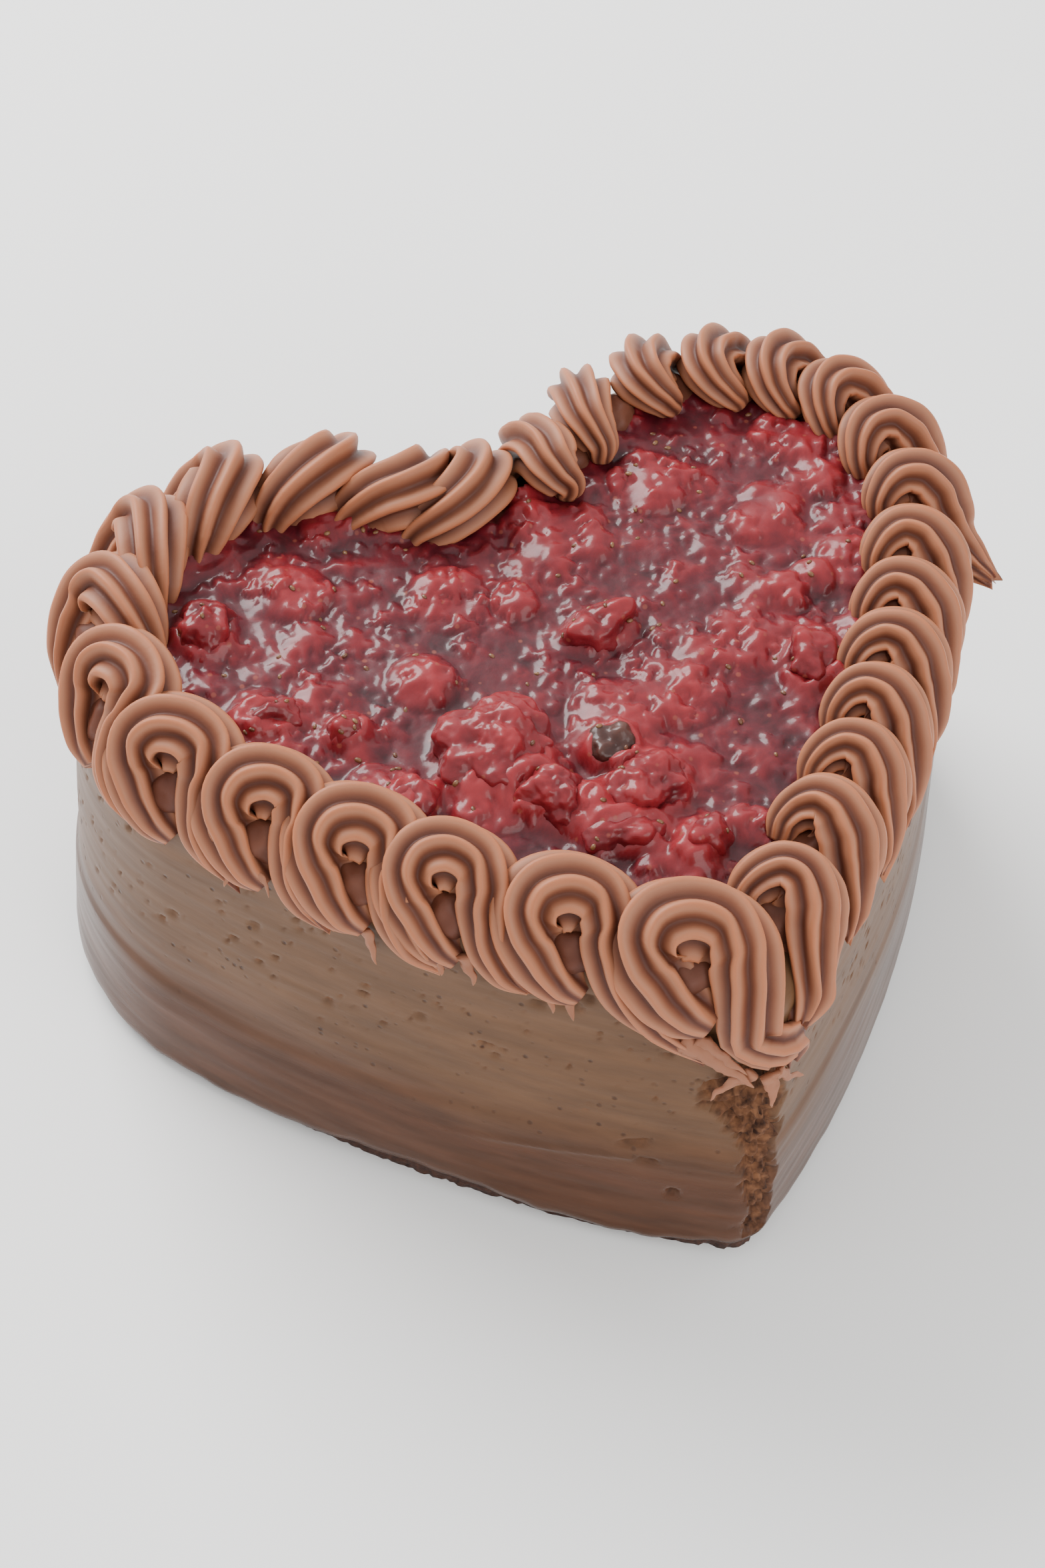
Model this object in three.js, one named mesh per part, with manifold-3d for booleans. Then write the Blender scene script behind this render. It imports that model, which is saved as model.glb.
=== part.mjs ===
// A heart-shaped cake in smooth chocolate icing, with a rim of piped buttercream loops and a berry compote
// on top.
// Millimetres, +Z up. The point of the heart faces -Y, its cleft faces +Y, and it stands on z = 0.
import * as THREE from "three";
import { mergeVertices } from "three/addons/utils/BufferGeometryUtils.js";
import Module from "manifold-3d";

const wasm = await Module();
wasm.setup();

// ---- Driving dimensions ----

// The heart's outline at its foot is four arcs a side: point, long side, lobe and cleft.
const HEART = {
  halfLength: 68.2, // from the middle to the point, and to the top of the lobes
  lobeRadius: 42.3,
  lobeOffset: 37.7, // each lobe's centre stands this far from the middle line
  sideRadius: 230,
  pointRadius: 8,
  cleftRadius: 12,
};
const CAKE_TOP = 68; // the iced top, under the rim and the compote
const WALL_LEAN = 3.5; // how far the wall leans in on its way up
const EDGE_RADIUS = 5; // the rounded top edge
const ICING = 2.1; // thickness of the coat
const GAP = 0.3; // clearance between pieces that touch
const LIP = { height: 4.6, wave: 2.4, recess: 0.7, fullAt: 9 }; // the coat's ragged lower edge
// The lower coat was smoothed over the upper one: it ends in a low step.
const SMEAR = { z: 27, slope: 0.2, step: 0.5, height: 1.2 };
const SMOOTH = 6; // how finely a line to walk along follows its arcs, against a ring of the coat
const SPONGE_FINENESS = 0.6; // the same for the sponge, which barely shows

// The piped rim: its middle line runs this far inside the foot's outline.
const RIM_INSET = 9;
// Distances along that line from the point to each loop's middle, in the order they were piped.
const LEFT_LOOPS = [207, 196, 180.5, 164, 149, 134.5, 118.5, 101.5, 84.3, 68, 53, 33.5, 15];
const RIGHT_LOOPS = [193, 179, 166, 154, 142.5, 131, 118.5, 104.5, 90.5, 78, 67, 54, 42, 28.5, 14];
const BACK_FROM = 125; // beyond this distance the left-hand run takes the path for the back
// One loop is a rope of cream from a star nozzle. Each station of its middle line is
// [forward along the rim, out from the rim's middle, up from the icing, rope radius].
const LEFT_PATH = [
  [7.6, 4.9, -6.0, 2.6],
  [4.8, 4.6, -4.4, 4.5],
  [1.4, 3.8, -1.8, 5.6],
  [-1.6, 2.4, 1.6, 6.1],
  [-2.2, 0.2, 4.8, 6.4],
  [-0.6, -2.0, 6.5, 6.5],
  [3.0, -3.6, 6.8, 6.4],
  [7.2, -3.4, 6.0, 6.2],
  [10.0, -1.2, 4.2, 5.9],
  [11.4, 1.6, 1.4, 5.6],
  [13.0, 3.8, -2.0, 5.0],
  [16.0, 5.0, -5.2, 3.9],
  [19.5, 5.8, -8.0, 1.3],
];
const BACK_PATH = [
  [12.0, -7.4, -1.5, 2.0],
  [10.5, -7.2, 2.0, 3.6],
  [8.0, -6.4, 4.6, 4.8],
  [5.0, -5.0, 6.4, 5.6],
  [1.8, -3.0, 7.0, 6.1],
  [-1.0, -0.4, 6.2, 6.4],
  [-1.6, 2.2, 3.6, 6.3],
  [0.6, 4.0, 0.0, 5.8],
  [4.0, 5.0, -4.0, 4.4],
  [7.6, 5.7, -8.0, 1.4],
];
const RIGHT_PATH = [
  [5.8, -8.4, 3.0, 2.0],
  [3.6, -8.4, 5.2, 3.2],
  [1.2, -7.2, 6.6, 4.0],
  [-0.5, -5.0, 7.4, 4.9],
  [-0.6, -2.2, 7.0, 5.7],
  [0.8, 0.4, 5.0, 6.2],
  [2.8, 2.0, 2.0, 6.0],
  [5.2, 3.4, -1.4, 5.0],
  [7.6, 4.8, -5.2, 3.4],
  [9.6, 5.8, -8.8, 1.2],
];
const CORE = { out: -2, up: -9 }; // every rope's crest faces away from this line inside the edge
// How single loops differ from the rest of their run. Swing is how far each millimetre outwards also goes
// forward.
// Start and pull move the rope's first and last end by [forward, out, up]. Shift moves the loop outwards,
// length stretches it along the rim, and stout thickens its two legs.
const BY_HAND = {
  shell_right_01: { start: [-10, 0, 0], shift: 1.5 },
  shell_right_02: { start: [-14, -1.5, 0], shift: 1.5 },
  shell_right_03: { start: [-3, 0, 0], shift: 1.5 },
  shell_right_04: { shift: 1.5 },
  shell_right_05: { shift: 1.5 },
  shell_right_06: { shift: 1.2 },
  shell_right_08: { pull: [0, 5, 3] },
  shell_right_15: { swing: 0, shift: 0.6, pull: [2, 0, 0], stout: 0.8 },
  shell_left_01: { shift: 3, size: 1.05 },
  shell_left_02: { shift: 3, size: 1.1 },
  shell_left_03: { shift: 3, size: 1.12 },
  shell_left_04: { shift: 2.8, size: 1.1 },
  shell_left_05: { shift: 2, size: 1.05 },
  shell_left_06: { shift: 1 },
  shell_left_12: { swing: 0, pull: [8, 0, -7] },
  shell_left_13: { size: 1.06, length: 1.15, swing: 0, pull: [-5.5, 0, -10], stout: 0.5 },
};
const TAIL_DROP = 8; // how far down the wall a usual tail ends
const RIDGES = 4; // ridges on the rope's upper half
const RIDGE_DEPTH = 0.22; // grooves of the star section, as a share of the rope's radius
const TIGHTEST = 0.8; // how far the rope's inner side may reach towards the centre of a bend
const ROPE_RINGS = 10; // facets along a loop

// The compote: its lowest syrup, and the soft lumps that stand out of it.
const SYRUP = 70.9;
const LUMPS = { count: 90, radius: [4.2, 8.5], height: [0.9, 3.0], x: 66, y: 56 };
const COMPOTE = {
  grid: 7.2, // facets of its surface
  x: 68, // half the block that it is cut from
  y: 58,
  start: 24, // the plain heart, inside the foot's outline, that it has spread from
  reach: 12, // and the one that it nowhere passes
  creep: 0.25, // steps of its spreading
  edges: 92, // corners of its edge
  margin: 1.1, // clearance from a rope, as a share of the rope's radius
};
// Fruit that stands out as pieces: [x, y, length, width, height, turn in degrees].
const FRUIT = [
  [-20.5, -6.0, 20, 17, 13, 25],
  [-16.0, -18.5, 16, 11, 11, -50],
  [-2.6, -22.6, 17, 12, 10, 15],
  [-8.6, -29.4, 14, 7, 8, -8],
  [2.0, -34.6, 11, 7, 8, 35],
  [-3.3, -13.2, 9, 8, 8, 20],
  [-36.0, -10.6, 9, 7, 7, 30],
  [-51.0, 13.6, 12, 7, 8, -15],
  [-53.0, 35.0, 12, 10, 9, 60],
  [34.6, -8.6, 12, 9, 9, 50],
  [-40.0, 6.4, 8, 6, 7, 0],
  [6.0, 10.8, 14, 8, 8, 10],
];
const DARK_FRUIT = 6; // this one is a darker piece
const FRUIT_FACETS = [8, 6]; // round a piece, and from its foot to its top
const FRUIT_RISE = 0.1; // how far a piece's middle stands over the syrup, as a share of its height
const BULGE = { deep: 0.09, shallow: 0.07 }; // how uneven the fruit is, as a share of its size

// ---- Finishes ----

const finish = (color, roughness) => new THREE.MeshStandardMaterial({ color, roughness, metalness: 0 });
const CRUMB = finish(0x3b2219, 0.9);
const CHOCOLATE = finish(0x77543f, 0.5);
const CREAM = finish(0xb98467, 0.75);
const JAM = finish(0x8a2b36, 0.2);
const BERRY = finish(0x9b2733, 0.25);
const DARK_BERRY = finish(0x5a3a30, 0.25);

// ---- Small helpers ----

const turnOf = (from, to) => Math.atan2(to.y - from.y, to.x - from.x);
const mix = (low, high, share) => low + (high - low) * share;

// An even, repeatable scatter between 0 and 1.
function scatter(index, channel) {
  const wave = Math.sin(index * 127.1 + channel * 311.7) * 43758.5453;
  return wave - Math.floor(wave);
}

// Where two circles cross: the crossing with the smaller x.
function crossing(a, radiusA, b, radiusB) {
  const apart = a.distanceTo(b);
  const along = (radiusA ** 2 - radiusB ** 2 + apart ** 2) / (2 * apart);
  const across = Math.sqrt(radiusA ** 2 - along ** 2);
  const unit = b.clone().sub(a).divideScalar(apart);
  const foot = a.clone().addScaledVector(unit, along);
  const side = new THREE.Vector2(-unit.y, unit.x).multiplyScalar(across);
  const both = [foot.clone().add(side), foot.clone().sub(side)];
  return both[0].x < both[1].x ? both[0] : both[1];
}

// ---- The heart's outline ----

const POINT_CENTRE = new THREE.Vector2(0, -HEART.halfLength + HEART.pointRadius);
const LOBE_CENTRE = new THREE.Vector2(HEART.lobeOffset, HEART.halfLength - HEART.lobeRadius);
const SIDE_CENTRE = crossing(
  LOBE_CENTRE,
  HEART.sideRadius - HEART.lobeRadius,
  POINT_CENTRE,
  HEART.sideRadius - HEART.pointRadius,
);
const CLEFT_CENTRE = new THREE.Vector2(
  0,
  LOBE_CENTRE.y + Math.sqrt((HEART.lobeRadius + HEART.cleftRadius) ** 2 - HEART.lobeOffset ** 2),
);

function arc(centre, radius, from, to, steps) {
  const points = [];
  for (let i = 0; i <= steps; i++) {
    const a = mix(from, to, i / steps);
    points.push(new THREE.Vector2(centre.x + radius * Math.cos(a), centre.y + radius * Math.sin(a)));
  }
  return points;
}

// The outline moved in by inset, anticlockwise from the point; every arc keeps its centre.
function heart(inset, fineness = 1) {
  const steps = (count) => Math.max(1, Math.round(count * fineness));
  const sideRadius = HEART.sideRadius - inset;
  const pointRadius = Math.max(0.5, HEART.pointRadius - inset);
  const reach = Math.sqrt((sideRadius - pointRadius) ** 2 - SIDE_CENTRE.x ** 2);
  const pointCentre = new THREE.Vector2(0, SIDE_CENTRE.y - reach);
  const intoSide = turnOf(SIDE_CENTRE, pointCentre);
  const intoLobe = turnOf(SIDE_CENTRE, LOBE_CENTRE);
  const intoCleft = turnOf(LOBE_CENTRE, CLEFT_CENTRE);
  const half = arc(pointCentre, pointRadius, -Math.PI / 2, intoSide, steps(3));
  half.push(...arc(SIDE_CENTRE, sideRadius, intoSide, intoLobe, steps(8)).slice(1));
  half.push(...arc(LOBE_CENTRE, HEART.lobeRadius - inset, intoLobe, intoCleft, steps(13)).slice(1));
  const fromLobe = turnOf(CLEFT_CENTRE, LOBE_CENTRE);
  half.push(...arc(CLEFT_CENTRE, HEART.cleftRadius + inset, fromLobe, -Math.PI / 2, steps(3)).slice(1));
  const mirrored = half.slice(1, -1).reverse();
  return [...half, ...mirrored.map((p) => new THREE.Vector2(-p.x, p.y))];
}

// A closed line to walk along: the point and outward direction at a distance from its start.
function track(points) {
  const count = points.length;
  const steps = points.map((p, i) => p.distanceTo(points[(i + 1) % count]));
  const outs = points.map((_, i) => {
    const along = points[(i + 1) % count].clone().sub(points[(i + count - 1) % count]);
    return new THREE.Vector2(along.y, -along.x).normalize();
  });
  const length = steps.reduce((sum, step) => sum + step, 0);
  const at = (distance) => {
    let rest = ((distance % length) + length) % length;
    let i = 0;
    while (rest > steps[i]) rest -= steps[i++];
    const next = (i + 1) % count;
    const share = rest / steps[i];
    const point = points[i].clone().lerp(points[next], share);
    const out = outs[i].clone().lerp(outs[next], share).normalize();
    return { point, out };
  };
  return { length, at };
}

// ---- Meshes and solids ----

// Skins rings of equal length, each anticlockwise about the way they advance. Its ends are flat or fans.
function loft(rings, endFaces) {
  const count = rings[0].length;
  const points = rings.flat();
  const faces = [];
  for (let r = 0; r + 1 < rings.length; r++)
    for (let i = 0; i < count; i++) {
      const a = r * count + i;
      const b = r * count + ((i + 1) % count);
      faces.push([a, b, b + count], [a, b + count, a + count]);
    }
  const last = (rings.length - 1) * count;
  if (endFaces === "flat") {
    const outline = (ring) => ring.map((p) => new THREE.Vector2(p.x, p.y));
    for (const [a, b, c] of THREE.ShapeUtils.triangulateShape(outline(rings[0]), [])) faces.push([a, c, b]);
    for (const [a, b, c] of THREE.ShapeUtils.triangulateShape(outline(rings.at(-1)), []))
      faces.push([last + a, last + b, last + c]);
  } else {
    const middle = (ring) => ring.reduce((sum, p) => sum.add(p), new THREE.Vector3()).divideScalar(count);
    points.push(middle(rings[0]), middle(rings.at(-1)));
    for (let i = 0; i < count; i++) {
      const next = (i + 1) % count;
      faces.push([points.length - 2, next, i], [points.length - 1, last + i, last + next]);
    }
  }
  return solid(points, faces);
}

function solid(points, faces) {
  const vertProperties = Float32Array.from(points.flatMap((p) => [p.x, p.y, p.z]));
  const triVerts = Uint32Array.from(faces.flat());
  return new wasm.Manifold(new wasm.Mesh({ numProp: 3, vertProperties, triVerts }));
}

function solidOfGeometry(geometry) {
  const bare = new THREE.BufferGeometry().setAttribute("position", geometry.getAttribute("position"));
  const merged = mergeVertices(bare.setIndex(geometry.index), 1e-4);
  const corners = Array.from(merged.index.array);
  const kept = [];
  for (let i = 0; i < corners.length; i += 3) {
    const [a, b, c] = corners.slice(i, i + 3);
    if (a !== b && b !== c && a !== c) kept.push(a, b, c);
  }
  const vertProperties = Float32Array.from(merged.attributes.position.array);
  return new wasm.Manifold(new wasm.Mesh({ numProp: 3, vertProperties, triVerts: Uint32Array.from(kept) }));
}

// The largest body that a cut leaves; the loose crumbs go.
const larger = (a, b) => (b.volume() > a.volume() ? b : a);
const largest = (cut) => cut.decompose().reduce(larger);

function mesh(name, made, material) {
  const { numProp, vertProperties, triVerts } = made.getMesh();
  const position = new Float32Array((vertProperties.length / numProp) * 3);
  for (let i = 0; i < position.length / 3; i++)
    position.set(vertProperties.subarray(i * numProp, i * numProp + 3), i * 3);
  const geometry = new THREE.BufferGeometry();
  geometry.setAttribute("position", new THREE.BufferAttribute(position, 3));
  geometry.setIndex(new THREE.BufferAttribute(Uint32Array.from(triVerts), 1));
  geometry.computeVertexNormals();
  const piece = new THREE.Mesh(geometry, material);
  piece.name = name;
  return piece;
}

// ---- Cake and icing ----

const leanAt = (z) => (WALL_LEAN * z) / CAKE_TOP;
const level = (inset, z, fineness) => heart(inset, fineness).map((p) => new THREE.Vector3(p.x, p.y, z));

// The uncut sponge: solid, and bare only at its foot.
function makeCake() {
  const top = CAKE_TOP - ICING - GAP;
  const inset = (z) => leanAt(z) + ICING + GAP;
  return loft([level(inset(0), 0, SPONGE_FINENESS), level(inset(top), top, SPONGE_FINENESS)], "flat");
}

// The coat's wall and top, as rings from the lip upwards; grow moves the whole face out.
function coatFace(grow = 0) {
  const ragged = (i) => LIP.height + LIP.wave * (scatter(i, 5) - 0.5);
  const lip = (inset) => heart(inset - grow).map((p, i) => new THREE.Vector3(p.x, p.y, ragged(i)));
  const ring = (extra, z) => level(leanAt(z) + extra - grow, z);
  const halfway = EDGE_RADIUS * (1 - Math.SQRT1_2);
  return [
    lip(LIP.recess),
    ring(0, LIP.fullAt),
    ring(SMEAR.slope, SMEAR.z),
    ring(SMEAR.slope + SMEAR.step, SMEAR.z + SMEAR.height),
    ring(0, CAKE_TOP - EDGE_RADIUS),
    ring(halfway, CAKE_TOP - halfway + grow),
    ring(EDGE_RADIUS, CAKE_TOP + grow),
  ];
}

function makeIcing() {
  const ceiling = CAKE_TOP - ICING;
  const inside = (z) => level(leanAt(z) + ICING, z);
  return loft([inside(ceiling), inside(LIP.height), ...coatFace()], "flat");
}

// The space that the iced cake fills, with clearance: everything piped on it is cut back to this.
const iced = loft(coatFace(GAP), "flat");

// ---- Piped rim ----

const RIM = track(heart(RIM_INSET, SMOOTH));

// Star section of the rope: ridges over its upper half, a plain foot below. Angles start at its side.
function starSection() {
  const section = [];
  for (let i = 0; i <= 2 * RIDGES; i++)
    section.push([(Math.PI * i) / (2 * RIDGES), i % 2 ? 1 : 1 - RIDGE_DEPTH]);
  section.push([Math.PI * 1.5, 1]);
  return section;
}

// The middle line of one loop of rope on the rim.
function ropeSpine({ path, hand, at, size, length, swing, start, pull, shift, stout }, rings) {
  const radii = [];
  const pulled = path.map(([forward, out, up, radius], i) => {
    const early = Math.max(0, 1 - (2 * i) / (path.length - 1));
    const late = i < path.length / 2 ? 0 : Math.max(0, -up / TAIL_DROP) ** 1.5;
    radii.push(new THREE.Vector3(size * radius * (1 + stout * (early ** 2 / 2 + late)), 0, 0));
    const askew = forward + swing * out + start[0] * early + pull[0] * late;
    const over = out + shift + start[1] * early + pull[1] * late;
    return new THREE.Vector3(length * askew, over, up + start[2] * early + pull[2] * late);
  });
  const route = new THREE.CatmullRomCurve3(pulled);
  const girth = new THREE.CatmullRomCurve3(radii);
  const spine = [];
  for (let i = 0; i < rings; i++) {
    const t = i / (rings - 1);
    const { x: forward, y: over, z: up } = route.getPoint(t);
    const { point, out } = RIM.at(hand * (at - forward));
    const place = new THREE.Vector3(point.x + out.x * over, point.y + out.y * over, CAKE_TOP + up);
    const lean = over - CORE.out;
    const rise = Math.max(0, up - CORE.up);
    const normal = new THREE.Vector3(out.x * lean, out.y * lean, rise).normalize();
    spine.push({ place, normal, radius: girth.getPoint(t).x });
  }
  return spine;
}

// Skin of one loop of rope, as rings of a section set square to its middle line.
function ropeRings(loop, rings, section, grow) {
  const spine = ropeSpine(loop, rings);
  return spine.map(({ place, normal, radius }, i) => {
    const before = spine[Math.max(0, i - 1)].place;
    const after = spine[Math.min(rings - 1, i + 1)].place;
    const heading = after.clone().sub(before).normalize();
    const side = normal.clone().cross(heading).normalize();
    const crest = heading.clone().cross(side);
    const bend = new THREE.Vector3();
    if (i > 0 && i < rings - 1) {
      const arrive = place.clone().sub(before);
      const leave = after.clone().sub(place);
      const step = (arrive.length() + leave.length()) / 2;
      bend.copy(leave.normalize()).sub(arrive.normalize()).divideScalar(step);
    }
    const end = i === 0 ? -grow : i === rings - 1 ? grow : 0;
    const centre = place.clone().addScaledVector(heading, end);
    return section.map(([angle, share]) => {
      const offset = new THREE.Vector3()
        .addScaledVector(side, (radius * share + grow) * Math.cos(angle))
        .addScaledVector(crest, (radius * share + grow) * Math.sin(angle));
      // Inside a tight turn the rope is squeezed, so that it doesn't run into itself.
      const squeeze = offset.dot(bend);
      if (squeeze > TIGHTEST) offset.multiplyScalar(TIGHTEST / squeeze);
      return centre.clone().add(offset);
    });
  });
}

const STAR = starSection();
const rope = (loop, grow = 0) => loft(ropeRings(loop, ROPE_RINGS, STAR, grow), "fan");

// Every loop in piping order: first the right-hand run from the cleft to the point, then the left-hand one.
function listLoops() {
  const run = (side, hand, distances) =>
    distances.map((at, i) => {
      const name = `shell_${side}_${String(i + 1).padStart(2, "0")}`;
      const seed = i + (hand < 0 ? 40 : 0);
      const leftPath = at > BACK_FROM ? BACK_PATH : LEFT_PATH;
      const usual = {
        path: hand < 0 ? leftPath : RIGHT_PATH,
        size: mix(0.95, 1.05, scatter(seed, 1)),
        length: mix(0.95, 1.05, scatter(seed, 4)),
        swing: mix(-0.1, 0.1, scatter(seed, 2)),
        start: [0, 0, 0],
        pull: [0, 0, mix(-1, 1, scatter(seed, 3))],
        shift: 0,
        stout: 0,
      };
      return { name, hand, at, ...usual, ...BY_HAND[name] };
    });
  return [...run("right", 1, RIGHT_LOOPS), ...run("left", -1, LEFT_LOOPS)];
}

// Each loop lies over the ones piped before it, which are cut back to its grown form.
function makeRim(loops, cutters) {
  return loops.map((loop, i) => {
    let shell = rope(loop).subtract(iced);
    for (let newer = i + 1; newer < loops.length; newer++) shell = shell.subtract(cutters[newer]);
    return [loop.name, largest(shell)];
  });
}

// ---- Compote and fruit ----

const LUMP_LIST = Array.from({ length: LUMPS.count }, (_, i) => ({
  x: mix(-LUMPS.x, LUMPS.x, scatter(i, 11)),
  y: mix(-LUMPS.y, LUMPS.y, scatter(i, 12)),
  radius: mix(...LUMPS.radius, scatter(i, 13)),
  height: mix(...LUMPS.height, scatter(i, 14)),
}));

// The tallest lump at a place decides the height, so creases stay between them as between pieces of fruit.
function compoteHeight(x, y) {
  let tallest = 0;
  for (const lump of LUMP_LIST) {
    const near = 1 - ((x - lump.x) ** 2 + (y - lump.y) ** 2) / lump.radius ** 2;
    if (near > 0) tallest = Math.max(tallest, lump.height * Math.sqrt(near));
  }
  return SYRUP + tallest;
}

// A block with the compote's surface on top, before it is trimmed to the heart.
function compoteBlock() {
  const columns = Math.round((2 * COMPOTE.x) / COMPOTE.grid);
  const rows = Math.round((2 * COMPOTE.y) / COMPOTE.grid);
  const points = [];
  for (let r = 0; r <= rows; r++)
    for (let c = 0; c <= columns; c++) {
      const x = mix(-COMPOTE.x, COMPOTE.x, c / columns);
      const y = mix(-COMPOTE.y, COMPOTE.y, r / rows);
      points.push(new THREE.Vector3(x, y, compoteHeight(x, y)));
    }
  const at = (r, c) => r * (columns + 1) + c;
  const faces = [];
  for (let r = 0; r < rows; r++)
    for (let c = 0; c < columns; c++) {
      const [a, b, d, e] = [at(r, c), at(r, c + 1), at(r + 1, c + 1), at(r + 1, c)];
      if ((r + c) % 2) faces.push([a, b, d], [a, d, e]);
      else faces.push([a, b, e], [b, d, e]);
    }
  const edge = [];
  for (let c = 0; c < columns; c++) edge.push(at(0, c));
  for (let r = 0; r < rows; r++) edge.push(at(r, columns));
  for (let c = columns; c > 0; c--) edge.push(at(rows, c));
  for (let r = rows; r > 0; r--) edge.push(at(r, 0));
  const foot = points.length;
  for (const i of edge) points.push(new THREE.Vector3(points[i].x, points[i].y, CAKE_TOP + GAP));
  edge.forEach((top, i) => {
    const next = (i + 1) % edge.length;
    faces.push([top, foot + i, foot + next], [top, foot + next, edge[next]]);
  });
  const outline = edge.map((_, i) => new THREE.Vector2(points[foot + i].x, points[foot + i].y));
  for (const [a, b, c] of THREE.ShapeUtils.triangulateShape(outline, []))
    faces.push([foot + a, foot + c, foot + b]);
  return solid(points, faces);
}

// A soft, uneven piece of fruit, a little more than half of it above the syrup.
function fruitSolid([x, y, length, width, height, turn], index, grow) {
  const geometry = new THREE.SphereGeometry(1, ...FRUIT_FACETS);
  geometry.deleteAttribute("normal");
  geometry.deleteAttribute("uv");
  const position = geometry.getAttribute("position");
  for (let i = 0; i < position.count; i++) {
    const p = new THREE.Vector3().fromBufferAttribute(position, i);
    const dents = BULGE.deep * Math.sin(4.3 * p.x + index) * Math.cos(3.7 * p.y);
    p.multiplyScalar(1 + dents + BULGE.shallow * Math.sin(5.1 * p.z + 2 * index));
    position.setXYZ(i, p.x * (length / 2 + grow), p.y * (width / 2 + grow), p.z * (height / 2 + grow));
  }
  geometry.rotateZ(THREE.MathUtils.degToRad(turn));
  geometry.translate(x, y, SYRUP + height * FRUIT_RISE);
  return solidOfGeometry(geometry);
}

// The compote's edge: it has run outwards from a plain heart until it met the piped loops.
function compoteOutline(loops) {
  const round = loops.flatMap((loop) => ropeSpine(loop, 2 * ROPE_RINGS));
  const start = track(heart(COMPOTE.start, SMOOTH));
  const outline = [];
  for (let i = 0; i < COMPOTE.edges; i++) {
    const { point, out } = start.at((start.length * i) / COMPOTE.edges);
    const clear = (radius) => radius * COMPOTE.margin + 2 * GAP;
    const meets = ({ place, radius }) => Math.hypot(place.x - point.x, place.y - point.y) < clear(radius);
    let run = 0;
    while (run < COMPOTE.start - COMPOTE.reach && !round.some(meets)) {
      point.addScaledVector(out, COMPOTE.creep);
      run += COMPOTE.creep;
    }
    outline.push(point);
  }
  return outline;
}

function makeTopping(loops, cutters) {
  const fruit = FRUIT.map((row, i) => {
    let piece = fruitSolid(row, i, 0).subtract(iced);
    for (let other = 0; other < i; other++) piece = piece.subtract(fruitSolid(FRUIT[other], other, GAP));
    for (const cutter of cutters) piece = piece.subtract(cutter);
    return [`fruit_${String(i + 1).padStart(2, "0")}`, largest(piece)];
  });
  const outline = compoteOutline(loops);
  const atHeight = (z) => outline.map((p) => new THREE.Vector3(p.x, p.y, z));
  const trim = loft([atHeight(SYRUP - LUMPS.radius[1]), atHeight(SYRUP + LUMPS.radius[1])], "flat");
  let compote = compoteBlock().intersect(trim);
  FRUIT.forEach((row, i) => (compote = compote.subtract(fruitSolid(row, i, GAP))));
  for (const cutter of cutters) compote = compote.subtract(cutter);
  return { compote: largest(compote), fruit };
}

// ---- The whole cake ----

const whole = new THREE.Group();
const loops = listLoops();
whole.add(mesh("cake", makeCake(), CRUMB));
whole.add(mesh("icing", makeIcing(), CHOCOLATE));
const cutters = loops.map((loop) => rope(loop, GAP));
for (const [name, shell] of makeRim(loops, cutters)) whole.add(mesh(name, shell, CREAM));
const { compote, fruit } = makeTopping(loops, cutters);
whole.add(mesh("compote", compote, JAM));
fruit.forEach(([name, piece], i) => {
  whole.add(mesh(name, piece, i + 1 === DARK_FRUIT ? DARK_BERRY : BERRY));
});

// The middle of the whole cake's footprint is the origin.
const box = new THREE.Box3().setFromObject(whole);
whole.position.set(-(box.min.x + box.max.x) / 2, -(box.min.y + box.max.y) / 2, -box.min.z);

export default whole;
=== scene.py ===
# %% [markdown]
# # A heart-shaped chocolate cake with piped loops and berry compote
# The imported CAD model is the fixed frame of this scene: a sponge, its chocolate icing, 28 piped
# loops of buttercream, the compote and its larger fruit. All of it is soft, so every solid gets a
# finer mesh here, in exactly the place that it holds, and everything that shows gets a procedural
# material. Seeds and torn ends of cream, too small for solids, are added. Sizes are thought of in
# millimetres and written to the meshes in metres.

# %% Load the frame
import math

import bmesh
import bpy
import numpy as np
from mathutils import Matrix, Vector, noise


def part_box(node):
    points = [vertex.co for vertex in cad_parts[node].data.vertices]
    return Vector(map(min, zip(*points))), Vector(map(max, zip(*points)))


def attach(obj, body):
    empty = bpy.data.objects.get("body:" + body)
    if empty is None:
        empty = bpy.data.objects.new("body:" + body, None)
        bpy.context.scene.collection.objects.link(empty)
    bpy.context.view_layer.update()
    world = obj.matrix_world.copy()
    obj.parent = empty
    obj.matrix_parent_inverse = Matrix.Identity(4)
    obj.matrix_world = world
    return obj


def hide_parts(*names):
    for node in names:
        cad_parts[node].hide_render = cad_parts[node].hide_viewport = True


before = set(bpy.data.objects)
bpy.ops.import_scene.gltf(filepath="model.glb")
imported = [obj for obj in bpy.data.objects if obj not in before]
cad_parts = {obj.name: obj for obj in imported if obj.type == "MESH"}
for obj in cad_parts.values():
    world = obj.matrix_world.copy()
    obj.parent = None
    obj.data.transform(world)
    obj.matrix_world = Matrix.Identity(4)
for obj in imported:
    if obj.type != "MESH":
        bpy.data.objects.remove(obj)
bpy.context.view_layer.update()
MM = 0.001
print("CAD nodes:", len(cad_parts))

# %% [markdown]
# ## Small helpers
# A soft form is easiest to shape as a sheet: `create_grid` gives a flat net whose corners know how far
# along they are in two directions, and a bend function then lays it round a rope or a wall. The
# alternative, extruding ring after ring, gives the same net with far more steps. Noise is always
# read at a place in millimetres, so that its scale is a real size.

# %% Helpers for meshes and noise
def mix(low, high, share):
    return low + (high - low) * share


def scatter(index, channel):
    """An even, repeatable scatter between 0 and 1; the CAD uses the same one."""
    wave = math.sin(index * 127.1 + channel * 311.7) * 43758.5453
    return wave - math.floor(wave)


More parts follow.
